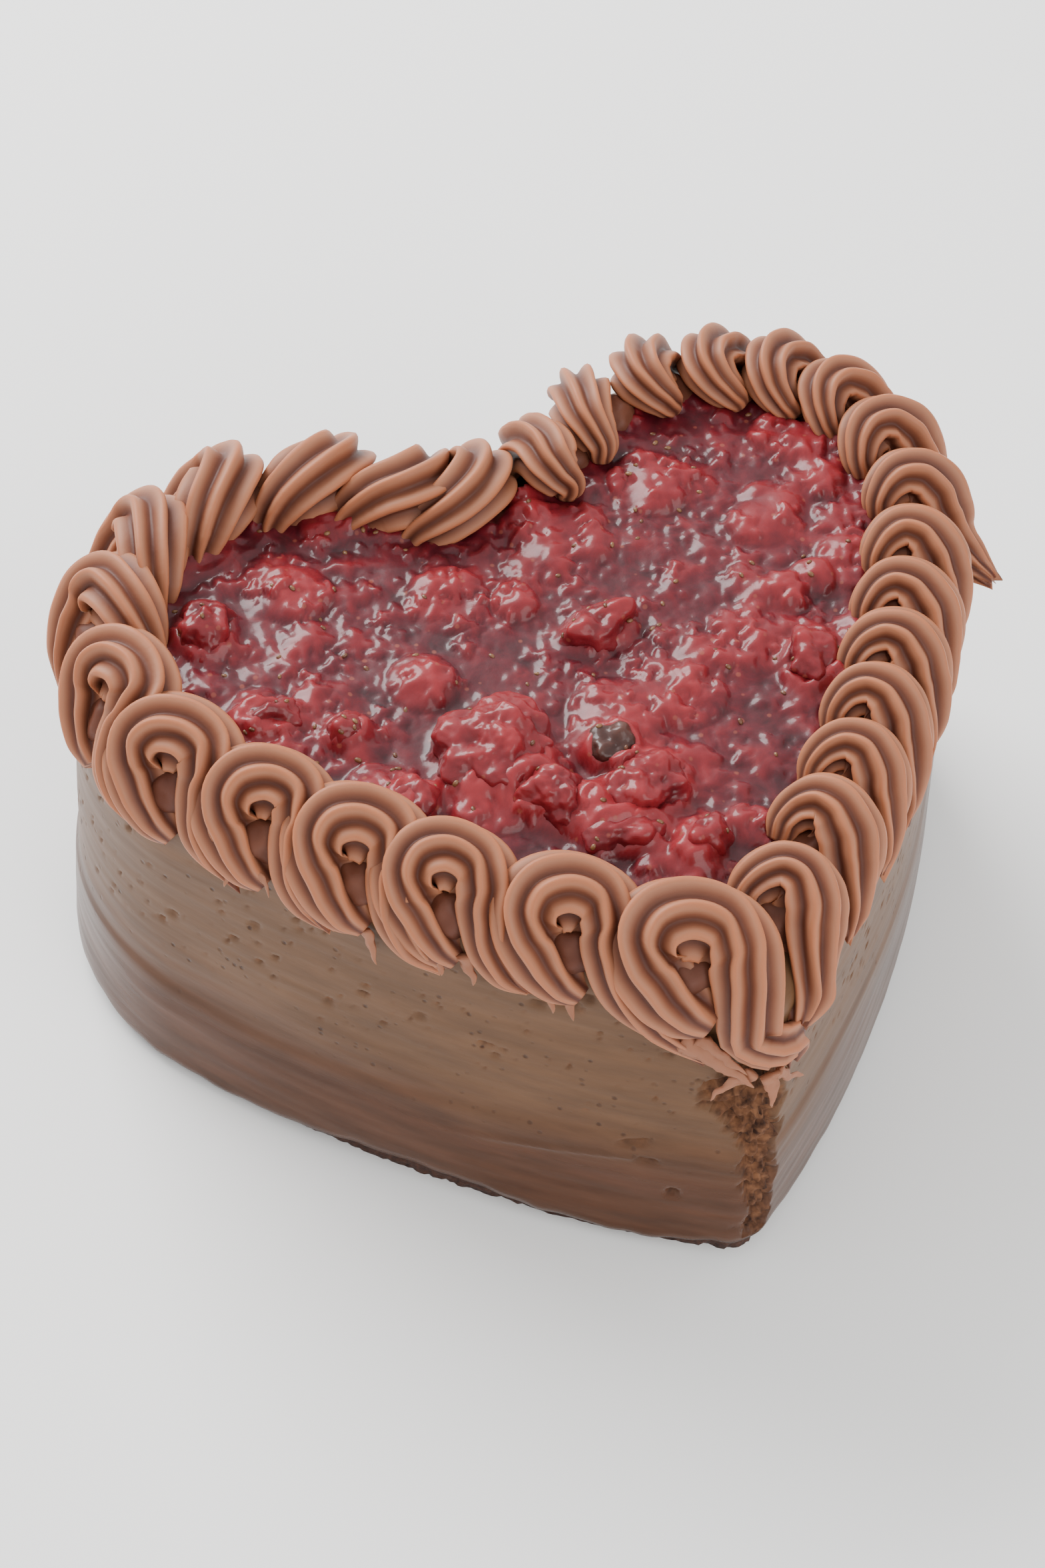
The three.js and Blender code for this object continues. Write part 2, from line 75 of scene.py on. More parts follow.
def wobble(x, y, z, size, seed=0.0):
    """Smooth noise between about -1 and 1 whose bumps are `size` millimetres across."""
    return noise.noise(Vector((x / size + seed, y / size - seed, z / size + 3.7 * seed)))


def bent_sheet(across, along, bend, wrap=False):
    """A net of quads, bent so that (u, v), each 0 to 1, lands at bend(u, v) in millimetres.
    bend also returns the value of the net's "relief" layer there. wrap joins u = 0 to u = 1."""
    bm = bmesh.new()
    bmesh.ops.create_grid(bm, x_segments=across, y_segments=along, size=0.5)
    relief = bm.verts.layers.float.new("relief")
    for vert in bm.verts:
        place, vert[relief] = bend(vert.co.x + 0.5, vert.co.y + 0.5)
        vert.co = place
    if wrap:
        rim = [v for v in bm.verts if v.is_boundary]
        bmesh.ops.remove_doubles(bm, verts=rim, dist=1e-3)
    return bm


def close_ends(bm):
    """Closes each open end with a fan round a point in its middle."""
    ends = [edge for edge in bm.edges if edge.is_boundary]
    caps = bmesh.ops.holes_fill(bm, edges=ends, sides=0)["faces"]
    bmesh.ops.poke(bm, faces=caps)


def piece(name, bm, material, replaced=()):
    """Makes the bmesh an object in metres, smooth, riding on the cake's one body."""
    bmesh.ops.scale(bm, vec=(MM, MM, MM), verts=bm.verts)
    bmesh.ops.recalc_face_normals(bm, faces=bm.faces)
    mesh = bpy.data.meshes.new(name)
    bm.to_mesh(mesh)
    bm.free()
    mesh.polygons.foreach_set("use_smooth", [True] * len(mesh.polygons))
    made = bpy.data.objects.new(name, mesh)
    bpy.context.collection.objects.link(made)
    mesh.materials.append(material)
    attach(made, "root")
    if replaced:
        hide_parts(*replaced)
    return made


# %% [markdown]
# ## Materials
# Every finish is one Principled shader whose colour and roughness vary the way the real surface
# does. One function adds a node and links it, and sRGB hex colours are turned to linear once.

# %% Helpers for materials
def linear(hex_colour):
    """An sRGB hex colour as linear RGBA."""
    parts = [int(hex_colour[i:i + 2], 16) / 255 for i in (1, 3, 5)]
    return [c / 12.92 if c <= 0.04045 else ((c + 0.055) / 1.055) ** 2.4 for c in parts] + [1.0]


def add(tree, kind, settings=None, **inputs):
    """Adds a node: settings are its own properties, inputs are values or sockets to link.
    An input is named, or numbered as _6 where the node has several of one name."""
    node = tree.nodes.new(kind)
    for key, value in (settings or {}).items():
        setattr(node, key, value)
    for key, value in inputs.items():
        socket = node.inputs[int(key[1:]) if key[1:].isdigit() else key.replace("_", " ")]
        if isinstance(value, bpy.types.NodeSocket):
            tree.links.new(value, socket)
        else:
            socket.default_value = value
    return node


def new_material(name):
    """A material with a bare Principled shader; returns it, its tree and the shader."""
    material = bpy.data.materials.new(name)
    material.use_nodes = True
    tree = material.node_tree
    return material, tree, tree.nodes["Principled BSDF"]


def ramp(tree, factor, stops):
    """A colour ramp over [(position, hex colour)]."""
    node = add(tree, "ShaderNodeValToRGB", None, Fac=factor)
    line = node.color_ramp
    while len(line.elements) < len(stops):
        line.elements.new(1.0)
    for element, (position, colour) in zip(line.elements, stops):
        element.position = position
        element.color = linear(colour) if isinstance(colour, str) else [colour] * 3 + [1.0]
    return node.outputs["Color"]


# %% [markdown]
# ### Buttercream
# The loops are chocolate buttercream: butter, sugar and cocoa whipped until it holds an edge, then
# pushed through an open star nozzle. It is matt and a little translucent, and undissolved sugar
# gives a fine grain of about 0.4 mm. The mesh carries how close each point is to a ridge, and the
# colour follows that: painted shade darkens the grooves, and painted light makes the ridge crests
# lighter and warmer.

# %% Buttercream
def make_buttercream():
    material, tree, shader = new_material("whipped_chocolate_buttercream")
    place = add(tree, "ShaderNodeTexCoord").outputs["Object"]
    ridge = add(tree, "ShaderNodeAttribute", {"attribute_name": "relief"}).outputs["Fac"]
    cloudy = add(tree, "ShaderNodeTexNoise", None, Vector=place, Scale=90.0, Detail=3.0).outputs["Fac"]
    shade = add(tree, "ShaderNodeMath", {"operation": "MULTIPLY_ADD"}, _0=cloudy, _1=0.35, _2=-0.17)
    level = add(tree, "ShaderNodeMath", {"operation": "ADD"}, _0=ridge, _1=shade.outputs[0])
    # Painted shade and light: the colour is dark in the grooves and lighter, warmer on the ridge
    # crests.
    colour = ramp(tree, level.outputs[0], [
        (0.0, "#522b20"), (0.35, "#7d4c37"), (0.75, "#a06b50"), (1.0, "#ab6a49")])
    tree.links.new(colour, shader.inputs["Base Color"])
    grain = add(tree, "ShaderNodeTexNoise", None, Vector=place, Scale=1 / (0.4 * MM), Detail=2.0)
    folds = add(tree, "ShaderNodeTexNoise", None, Vector=place, Scale=1 / (2.5 * MM), Detail=3.0)
    fine = add(tree, "ShaderNodeBump", None, Strength=0.18, Distance=0.1 * MM,
               Height=grain.outputs["Fac"])
    bump = add(tree, "ShaderNodeBump", None, Strength=0.3, Distance=0.25 * MM,
               Height=folds.outputs["Fac"], Normal=fine.outputs["Normal"])
    tree.links.new(bump.outputs["Normal"], shader.inputs["Normal"])
    shader.inputs["Roughness"].default_value = 0.5
    shader.inputs["IOR"].default_value = 1.45
    shader.inputs["Specular IOR Level"].default_value = 0.3
    shader.inputs["Subsurface Weight"].default_value = 0.15
    shader.inputs["Subsurface Radius"].default_value = (2.0 * MM, 1.0 * MM, 0.6 * MM)
    shader.inputs["Subsurface Scale"].default_value = 1.0
    return material


BUTTERCREAM = make_buttercream()
print("finish:", BUTTERCREAM.name)

# %% [markdown]
# ### Icing smoothed with a knife
# The coat was spread with a warm palette knife: satin and greyish brown above, where it set with
# tiny pits and faint drag marks, and redder, darker and glossier below, where a second coat was
# smoothed over the first. At the point of the heart it broke away, and the mesh marks where: there
# it is matt, dark crumb. The mesh also marks its pits and holes, which take the same dark crumb
# colour as painted shade, and the shader darkens tiny pits again as painted shade. Height on the
# wall and noise stretched along it drive the rest.

# %% Icing
def make_icing():
    material, tree, shader = new_material("knife_smoothed_chocolate_icing")
    place = add(tree, "ShaderNodeTexCoord").outputs["Object"]
    axes = add(tree, "ShaderNodeSeparateXYZ", None, Vector=place)
    wave = add(tree, "ShaderNodeTexNoise", None, Vector=place, Scale=45.0, Detail=4.0)
    height = add(tree, "ShaderNodeMath", {"operation": "MULTIPLY_ADD"},
                 _0=wave.outputs["Fac"], _1=14 * MM, _2=axes.outputs["Z"])
    upper = add(tree, "ShaderNodeMapRange", {"interpolation_type": "SMOOTHSTEP"},
                Value=height.outputs[0], From_Min=24 * MM, From_Max=44 * MM)
    drag_place = add(tree, "ShaderNodeMapping", None, Vector=place, Scale=(1.0, 1.0, 5.0))
    drag = add(tree, "ShaderNodeTexNoise", None, Vector=drag_place.outputs[0], Scale=60.0,
               Detail=5.0, Roughness=0.55)
    low = ramp(tree, drag.outputs["Fac"], [(0.3, "#422615"), (0.7, "#563421")])
    high = ramp(tree, drag.outputs["Fac"], [(0.25, "#563c28"), (0.75, "#6b4c34")])
    coat = add(tree, "ShaderNodeMix", {"data_type": "RGBA"}, _0=upper.outputs[0], _6=low, _7=high)
    crumb_and_pit_shade = add(tree, "ShaderNodeAttribute", {"attribute_name": "relief"}).outputs["Fac"]
    crumbs = add(tree, "ShaderNodeTexNoise", None, Vector=place, Scale=1 / (1.6 * MM), Detail=5.0)
    crumb = ramp(tree, crumbs.outputs["Fac"], [(0.32, "#2c180f"), (0.5, "#5a3a27"), (0.7, "#7a5238")])
    # The mask mixes in dark crumb where the coat broke, and painted shade in its pits and holes.
    colour = add(tree, "ShaderNodeMix", {"data_type": "RGBA"}, _0=crumb_and_pit_shade, _6=coat.outputs[2], _7=crumb)
    cells = add(tree, "ShaderNodeTexVoronoi", None, Vector=place, Scale=1 / (2.4 * MM))
    pits = add(tree, "ShaderNodeMapRange", {"interpolation_type": "SMOOTHSTEP"},
               Value=cells.outputs["Distance"], From_Min=0.08, From_Max=0.26)
    patch = add(tree, "ShaderNodeTexNoise", None, Vector=place, Scale=170.0, Detail=2.0)
    where = add(tree, "ShaderNodeMapRange", None, Value=patch.outputs["Fac"],
                From_Min=0.46, From_Max=0.6)
    strength = add(tree, "ShaderNodeMath", {"operation": "MULTIPLY"},
                   _0=where.outputs[0], _1=upper.outputs[0])
    hollow = add(tree, "ShaderNodeMath", {"operation": "SUBTRACT"}, _0=1.0, _1=pits.outputs[0])
    dents = add(tree, "ShaderNodeMath", {"operation": "MULTIPLY"},
                _0=hollow.outputs[0], _1=strength.outputs[0])
    # Painted shade: the tiny pits are darkened in the colour.
    darker = add(tree, "ShaderNodeMix", {"data_type": "RGBA", "blend_type": "MULTIPLY"},
                 _0=dents.outputs[0], _6=colour.outputs[2], _7=linear("#a08a7c"))
    tree.links.new(darker.outputs[2], shader.inputs["Base Color"])
    worn = add(tree, "ShaderNodeMath", {"operation": "MULTIPLY_ADD"},
               _0=drag.outputs["Fac"], _1=0.6, _2=dents.outputs[0])
    bump = add(tree, "ShaderNodeBump", {"invert": True}, Strength=0.4, Distance=0.4 * MM,
               Height=worn.outputs[0])
    tree.links.new(bump.outputs["Normal"], shader.inputs["Normal"])
    satin = add(tree, "ShaderNodeMapRange", None, Value=upper.outputs[0], To_Min=0.27, To_Max=0.4)
    rough = add(tree, "ShaderNodeMath", {"operation": "MULTIPLY_ADD"},
                _0=crumb_and_pit_shade, _1=0.45, _2=satin.outputs[0])
    tree.links.new(rough.outputs[0], shader.inputs["Roughness"])
    # Fat that blooms on set icing scatters light, so it mirrors less than its index alone says.
    shader.inputs["IOR"].default_value = 1.45
    shader.inputs["Specular IOR Level"].default_value = 0.23
    return material


ICING_FINISH = make_icing()
print("finish:", ICING_FINISH.name)

# %% [markdown]
# ### Sponge
# The sponge only shows as a dark, crumbly line under the icing's lower edge. It is baked chocolate
# crumb: matt, with pores of about 1 mm.

# %% Sponge
def make_sponge():
    material, tree, shader = new_material("dark_chocolate_sponge_crumb")
    place = add(tree, "ShaderNodeTexCoord").outputs["Object"]
    pores = add(tree, "ShaderNodeTexVoronoi", None, Vector=place, Scale=1 / (1.4 * MM))
    crumb = add(tree, "ShaderNodeTexNoise", None, Vector=place, Scale=1 / (0.9 * MM), Detail=5.0)
    colour = ramp(tree, crumb.outputs["Fac"], [(0.3, "#2a140d"), (0.7, "#4a2a1c")])
    tree.links.new(colour, shader.inputs["Base Color"])
    relief = add(tree, "ShaderNodeMath", {"operation": "ADD"},
                 _0=pores.outputs["Distance"], _1=crumb.outputs["Fac"])
    bump = add(tree, "ShaderNodeBump", None, Strength=0.7, Distance=0.6 * MM,
               Height=relief.outputs[0])
    tree.links.new(bump.outputs["Normal"], shader.inputs["Normal"])
    shader.inputs["Roughness"].default_value = 0.8
    return material


SPONGE = make_sponge()
print("finish:", SPONGE.name)

# %% [markdown]
# ### Berry compote
# Cooked berries in their own thickened juice: a wet, glossy film over soft fruit. Fruit that
# stands up is a clear red, juice that lies deep is purple, and the colour follows the height that
# the mesh carries: darker lower down, which is also painted shade in the hollows, and on each
# larger piece painted light on its top and knobs and painted shade in its folds. The film is the
# shader's coat, smoother than what it covers.

# %% Compote and fruit
def make_fruit(name, stops, seeds=True):
    material, tree, shader = new_material(name)
    place = add(tree, "ShaderNodeTexCoord").outputs["Object"]
    tall = add(tree, "ShaderNodeAttribute", {"attribute_name": "relief"}).outputs["Fac"]
    flesh = add(tree, "ShaderNodeTexNoise", None, Vector=place, Scale=1 / (5.0 * MM), Detail=6.0,
                Roughness=0.62, Distortion=0.6)
    spread = add(tree, "ShaderNodeMath", {"operation": "MULTIPLY_ADD"},
                 _0=flesh.outputs["Fac"], _1=1.1, _2=-0.55)
    # Colour rises with the mesh's height: painted light high up and painted shade low down; on the
    # compote, low is also syrup.
    level = add(tree, "ShaderNodeMath", {"operation": "ADD"}, _0=tall, _1=spread.outputs[0])
    colour = ramp(tree, level.outputs[0], stops)
    if seeds:
        cells = add(tree, "ShaderNodeTexVoronoi", None, Vector=place, Scale=1 / (3.4 * MM))
        seed = add(tree, "ShaderNodeMapRange", None, Value=cells.outputs["Distance"],
                   From_Min=0.09, From_Max=0.15, To_Min=0.55, To_Max=0.0)
        colour = add(tree, "ShaderNodeMix", {"data_type": "RGBA"}, _0=seed.outputs[0], _6=colour,
                     _7=linear("#8e4a3a")).outputs[2]
    tree.links.new(colour, shader.inputs["Base Color"])
    pulp = add(tree, "ShaderNodeTexNoise", None, Vector=place, Scale=1 / (1.6 * MM), Detail=4.0)
    bump = add(tree, "ShaderNodeBump", None, Strength=0.18, Distance=0.5 * MM,
               Height=pulp.outputs["Fac"])
    tree.links.new(bump.outputs["Normal"], shader.inputs["Normal"])
    shader.inputs["Roughness"].default_value = 0.5
    shader.inputs["IOR"].default_value = 1.4
    shader.inputs["Specular IOR Level"].default_value = 0.3
    shader.inputs["Subsurface Weight"].default_value = 0.25
    shader.inputs["Subsurface Radius"].default_value = (2.5 * MM, 0.5 * MM, 0.4 * MM)
    shader.inputs["Subsurface Scale"].default_value = 1.0
    shader.inputs["Coat Weight"].default_value = 0.6
    shader.inputs["Coat Roughness"].default_value = 0.17
    shader.inputs["Coat IOR"].default_value = 1.4
    film = add(tree, "ShaderNodeTexNoise", None, Vector=place, Scale=1 / (3.0 * MM), Detail=1.0)
    soft = add(tree, "ShaderNodeBump", None, Strength=0.3, Distance=0.5 * MM,
               Height=film.outputs["Fac"])
    tree.links.new(soft.outputs["Normal"], shader.inputs["Coat Normal"])
    return material


COMPOTE_FINISH = make_fruit("stewed_berry_compote", [
    (0.0, "#330912"), (0.3, "#54101b"), (0.6, "#741820"), (1.0, "#8c2329")])
BERRY = make_fruit("stewed_berry_flesh", [
    (0.0, "#420a12"), (0.45, "#6b141c"), (1.0, "#8a2228")])
DARK_BERRY = make_fruit("stewed_dark_berry", [
    (0.0, "#250f0f"), (0.6, "#3d1f19"), (1.0, "#4f2d24")], seeds=False)
print("finishes:", COMPOTE_FINISH.name, BERRY.name, DARK_BERRY.name)

# %% [markdown]
# ## The heart's outline
# The foot of the cake is a heart of four arcs a side: point, long side, lobe and cleft. Moving it
# inwards keeps every arc's centre. The same rule made the solids, so what is laid along it here
# falls on them.

# %% Heart outline
HALF_LENGTH, LOBE_RADIUS, LOBE_OFFSET = 68.2, 42.3, 37.7
SIDE_RADIUS, POINT_RADIUS, CLEFT_RADIUS = 230.0, 8.0, 12.0
CAKE_TOP, WALL_LEAN, EDGE_RADIUS, ICING, GAP = 68.0, 3.5, 5.0, 2.1, 0.3


def crossing(a, radius_a, b, radius_b):
    """Where two circles cross: the crossing with the smaller x."""
    apart = (b - a).length
    along = (radius_a ** 2 - radius_b ** 2 + apart ** 2) / (2 * apart)
    across = math.sqrt(radius_a ** 2 - along ** 2)
    unit = (b - a) / apart
    side = Vector((-unit.y, unit.x)) * across
    return min(a + unit * along + side, a + unit * along - side, key=lambda p: p.x)


LOBE = Vector((LOBE_OFFSET, HALF_LENGTH - LOBE_RADIUS))
SIDE = crossing(LOBE, SIDE_RADIUS - LOBE_RADIUS,
                Vector((0, POINT_RADIUS - HALF_LENGTH)), SIDE_RADIUS - POINT_RADIUS)
CLEFT = Vector((0, LOBE.y + math.sqrt((LOBE_RADIUS + CLEFT_RADIUS) ** 2 - LOBE_OFFSET ** 2)))


def turn_of(start, end):
    return math.atan2(end.y - start.y, end.x - start.x)


def arc(centre, radius, start, end, steps):
    turns = [mix(start, end, i / steps) for i in range(steps + 1)]
    return [centre + radius * Vector((math.cos(a), math.sin(a))) for a in turns]


def heart(inset, fineness=1.0):
    """The outline moved in by inset, anticlockwise from the point."""
    def steps(count):
        return max(1, round(count * fineness))
    side_radius = SIDE_RADIUS - inset
    point_radius = max(0.5, POINT_RADIUS - inset)
    reach = math.sqrt((side_radius - point_radius) ** 2 - SIDE.x ** 2)
    point = Vector((0, SIDE.y - reach))
    into_side, into_lobe = turn_of(SIDE, point), turn_of(SIDE, LOBE)
    half = arc(point, point_radius, -math.pi / 2, into_side, steps(3))
    half += arc(SIDE, side_radius, into_side, into_lobe, steps(8))[1:]
    half += arc(LOBE, LOBE_RADIUS - inset, into_lobe, turn_of(LOBE, CLEFT), steps(13))[1:]
    half += arc(CLEFT, CLEFT_RADIUS + inset, turn_of(CLEFT, LOBE), -math.pi / 2, steps(3))[1:]
    return half + [Vector((-p.x, p.y)) for p in reversed(half[1:-1])]


class Track:
    """A closed line to walk along: the point and outward direction at a distance from its start."""

    def __init__(self, points):
        self.points = points
        count = len(points)
        self.steps = [(points[(i + 1) % count] - p).length for i, p in enumerate(points)]
        self.starts = np.concatenate([[0.0], np.cumsum(self.steps)])
        self.length = float(self.starts[-1])
        self.outs = []
        for i in range(count):
            along = points[(i + 1) % count] - points[i - 1]
            self.outs.append(Vector((along.y, -along.x)).normalized())

    def at(self, distance):
        rest = distance % self.length
        i = min(int(np.searchsorted(self.starts, rest, side="right")) - 1, len(self.steps) - 1)
        share = (rest - self.starts[i]) / self.steps[i]
        j = (i + 1) % len(self.points)
        point = self.points[i].lerp(self.points[j], share)
        return point, self.outs[i].lerp(self.outs[j], share).normalized()


FOOT = Track(heart(0, 12))
RIM = Track(heart(9.0, 6))
# The whole cake is centred by its box, so the outline is shifted as its sponge is.
sponge_low, sponge_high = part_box("cake")
OFF_X = (sponge_low[0] + sponge_high[0]) / 2 / MM
OFF_Y = sponge_low[1] / MM - min(p.y for p in heart(ICING + GAP, 0.6))
print("outline", round(FOOT.length, 1), "mm round, shifted", round(OFF_X, 2), round(OFF_Y, 2))

# %% [markdown]
# ## The piped loops
# Each loop is one rope of cream from a star nozzle. The baker started it under its eye on the wall
# side, went up the rear leg, over the crown and down the forward leg, and pulled away along the
# wall, where the next loop covers the tail. A rope is a sheet of quads rolled round that path: its
# section is an eight-ridged star, and its path is the list of stations that the solids use,
# [forward along the rim, out, up, radius].

# %% Paths of the loops
# How far along the rim from the point each loop starts, in mm, in piping order.
LEFT_LOOPS = [207, 196, 180.5, 164, 149, 134.5, 118.5, 101.5, 84.3, 68, 53, 33.5, 15]
RIGHT_LOOPS = [193, 179, 166, 154, 142.5, 131, 118.5, 104.5, 90.5, 78, 67, 54, 42, 28.5, 14]
LEFT_PATH = [
    [7.6, 4.9, -6.0, 2.6], [4.8, 4.6, -4.4, 4.5], [1.4, 3.8, -1.8, 5.6], [-1.6, 2.4, 1.6, 6.1],
    [-2.2, 0.2, 4.8, 6.4], [-0.6, -2.0, 6.5, 6.5], [3.0, -3.6, 6.8, 6.4], [7.2, -3.4, 6.0, 6.2],
    [10.0, -1.2, 4.2, 5.9], [11.4, 1.6, 1.4, 5.6], [13.0, 3.8, -2.0, 5.0], [16.0, 5.0, -5.2, 3.9],
    [19.5, 5.8, -8.0, 1.3]]
BACK_PATH = [
    [12.0, -7.4, -1.5, 2.0], [10.5, -7.2, 2.0, 3.6], [8.0, -6.4, 4.6, 4.8], [5.0, -5.0, 6.4, 5.6],
    [1.8, -3.0, 7.0, 6.1], [-1.0, -0.4, 6.2, 6.4], [-1.6, 2.2, 3.6, 6.3], [0.6, 4.0, 0.0, 5.8],
    [4.0, 5.0, -4.0, 4.4], [7.6, 5.7, -8.0, 1.4]]
RIGHT_PATH = [
    [5.8, -8.4, 3.0, 2.0], [3.6, -8.4, 5.2, 3.2], [1.2, -7.2, 6.6, 4.0], [-0.5, -5.0, 7.4, 4.9],
    [-0.6, -2.2, 7.0, 5.7], [0.8, 0.4, 5.0, 6.2], [2.8, 2.0, 2.0, 6.0], [5.2, 3.4, -1.4, 5.0],
    [7.6, 4.8, -5.2, 3.4], [9.6, 5.8, -8.8, 1.2]]
# The line that the ridges turn round, [out, up] of the rim, how far down a tail counts as a tail, and
# the share of a bend's radius that the rope may fill.
CORE_OUT, CORE_UP, TAIL_DROP, TIGHTEST = -2.0, -9.0, 8.0, 0.92
# No hand pipes 28 equal loops. start and pull move the two ends, [forward, out, up]; shift moves the
# whole loop outwards, and stout thickens its ends.
BY_HAND = {
    "shell_right_01": {"start": [-10, 0, 0], "shift": 1.5},
    "shell_right_02": {"start": [-14, -1.5, 0], "shift": 1.5},
    "shell_right_03": {"start": [-3, 0, 0], "shift": 1.5},
    "shell_right_04": {"shift": 1.5},
    "shell_right_05": {"shift": 1.5},
    "shell_right_06": {"shift": 1.2},
    "shell_right_08": {"pull": [0, 5, 3]},
    "shell_right_15": {"swing": 0, "shift": 0.6, "pull": [2, 0, 0], "stout": 0.8},
    "shell_left_01": {"shift": 3, "size": 1.05},
    "shell_left_02": {"shift": 3, "size": 1.1},
    "shell_left_03": {"shift": 3, "size": 1.12},
    "shell_left_04": {"shift": 2.8, "size": 1.1},
    "shell_left_05": {"shift": 2, "size": 1.05},
    "shell_left_06": {"shift": 1},
    "shell_left_12": {"swing": 0, "pull": [8, 0, -7]},
    "shell_left_13": {"size": 1.06, "length": 1.15, "swing": 0, "pull": [-5.5, 0, -10], "stout": 0.5},
}
BACK_FROM = 125


def list_loops():
    """Every loop with what sets it apart, in piping order: right run, then left run."""
    loops = []
    for side, hand, distances in (("right", 1, RIGHT_LOOPS), ("left", -1, LEFT_LOOPS)):
        for i, at in enumerate(distances):
            seed = i + (40 if hand < 0 else 0)
            loop = {"name": f"shell_{side}_{i + 1:02d}", "hand": hand, "at": at, "seed": seed}
            back = at > BACK_FROM
            left_path = BACK_PATH if back else LEFT_PATH
            left_eye = (5.0, 1.0, 0.0) if back else (4.8, 1.0, -0.6)
            loop.update(path=left_path if hand < 0 else RIGHT_PATH,
                        eye=left_eye if hand < 0 else (3.8, -3.0, 1.0),
                        size=mix(0.95, 1.05, scatter(seed, 1)),
                        length=mix(0.95, 1.05, scatter(seed, 4)),
                        swing=mix(-0.1, 0.1, scatter(seed, 2)), start=[0, 0, 0],
                        pull=[0, 0, mix(-1, 1, scatter(seed, 3))], shift=0.0, stout=0.0)
            loop.update(BY_HAND.get(loop["name"], {}))
            loops.append(loop)
    return loops


LOOPS = list_loops()
print("loops:", len(LOOPS), "on paths of", len(LEFT_PATH), len(BACK_PATH), len(RIGHT_PATH), "stations")

# %% The middle line of a loop
def smooth_line(stations, t):
    """A centripetal spline through the stations, at t from 0 to 1."""
    last = len(stations) - 1
    whole = min(int(t * last), last - 1)
    share = t * last - whole
    around = [stations[min(max(whole + k, 0), last)].copy() for k in (-1, 0, 1, 2)]
    if whole == 0:
        around[0] = 2 * stations[0] - stations[1]
    if whole == last - 1:
        around[3] = 2 * stations[last] - stations[last - 1]
    gaps = [max((around[k + 1] - around[k]).length_squared ** 0.25, 1e-4) for k in range(3)]
    a, b, c, d = around
    leave = (b - a) / gaps[0] - (c - a) / (gaps[0] + gaps[1]) + (c - b) / gaps[1]
    arrive = (c - b) / gaps[1] - (d - b) / (gaps[1] + gaps[2]) + (d - c) / gaps[2]
    leave, arrive = leave * gaps[1], arrive * gaps[1]
    s2, s3 = share * share, share ** 3
    return (b * (2 * s3 - 3 * s2 + 1) + leave * (s3 - 2 * s2 + share)
            + c * (3 * s2 - 2 * s3) + arrive * (s3 - s2))


def beside_rim(loop, forward, over, up):
    """The place `forward` of a loop's start, `over` outwards and `up`, and the outward direction."""
    point, out = RIM.at(loop["hand"] * (loop["at"] - forward))
    return Vector((point.x + out.x * over + OFF_X, point.y + out.y * over + OFF_Y, CAKE_TOP + up)), out


def rope_spine(loop, rings):
    """Places, upward directions and radii along a loop, in millimetres."""
    path, start, pull = loop["path"], loop["start"], loop["pull"]
    stations, girth = [], []
    for i, (forward, out, up, radius) in enumerate(path):
        early = max(0.0, 1 - 2 * i / (len(path) - 1))
        late = 0.0 if i < len(path) / 2 else max(0.0, -up / TAIL_DROP) ** 1.5
        thick = loop["size"] * radius * (1 + loop["stout"] * (early ** 2 / 2 + late))
        girth.append(Vector((thick, 0, 0)))
        askew = forward + loop["swing"] * out + start[0] * early + pull[0] * late
        over = out + loop["shift"] + start[1] * early + pull[1] * late
        stations.append(Vector((loop["length"] * askew, over,
                                up + start[2] * early + pull[2] * late)))
    spine = []
    for i in range(rings):
        t = i / (rings - 1)
        forward, over, up = smooth_line(stations, t)
        place, out = beside_rim(loop, forward, over, up)
        lean, rise = over - CORE_OUT, max(0.0, up - CORE_UP)
        crest = Vector((out.x * lean, out.y * lean, rise)).normalized()
        spine.append((place, crest, smooth_line(girth, t).x))
    return spine


one_rope = [place for place, _, _ in rope_spine(LOOPS[0], 60)]
one_length = sum((after - before).length for before, after in zip(one_rope, one_rope[1:]))
print("the first loop takes", round(one_length), "mm of rope")

# %% The rope itself
RIDGES, RIDGE_DEPTH = 8, 0.33
# EYE_SHADE sets the eye's fill low on the cream's colour scale: painted shade in the hollow.
EYE_RADIUS, EYE_SHADE = 4.6, 0.12
AROUND, ALONG = 80, 76
TORN_FROM = 0.84  # the share of the rope's length where its end begins to tear
RIDGE_DRIFT, UNEVEN, RAGGED, STRAND_PULL = 0.2, 0.07, 0.45, 2.2


def rope_frames(loop, rings):
    """For each ring: its centre, sideways and crest directions, radius and bend."""
    spine = rope_spine(loop, rings)
    frames = []
    for i, (place, up, radius) in enumerate(spine):
        before, after = spine[max(0, i - 1)][0], spine[min(rings - 1, i + 1)][0]
        heading = (after - before).normalized()
        side = up.cross(heading).normalized()
        bend = Vector((0, 0, 0))
        if 0 < i < rings - 1:
            arrive, leave = place - before, after - place
            step = (arrive.length + leave.length) / 2
            bend = (leave.normalized() - arrive.normalized()) / step
        frames.append((place, side, heading.cross(side), radius, bend))
    return frames


def fill_eye(bm, loop):
    """The cream that closed up inside the loop, so that its eye is no hole, coloured dark as painted
    shade.
    """
    middle, _ = beside_rim(loop, *loop["eye"])
    layer = bm.verts.layers.float["relief"]
    for vert in bmesh.ops.create_icosphere(bm, subdivisions=4, radius=EYE_RADIUS)["verts"]:
        swell = 1 + 0.16 * wobble(*vert.co, 2.6, loop["seed"])
        vert[layer] = EYE_SHADE
        vert.co = vert.co * swell + middle


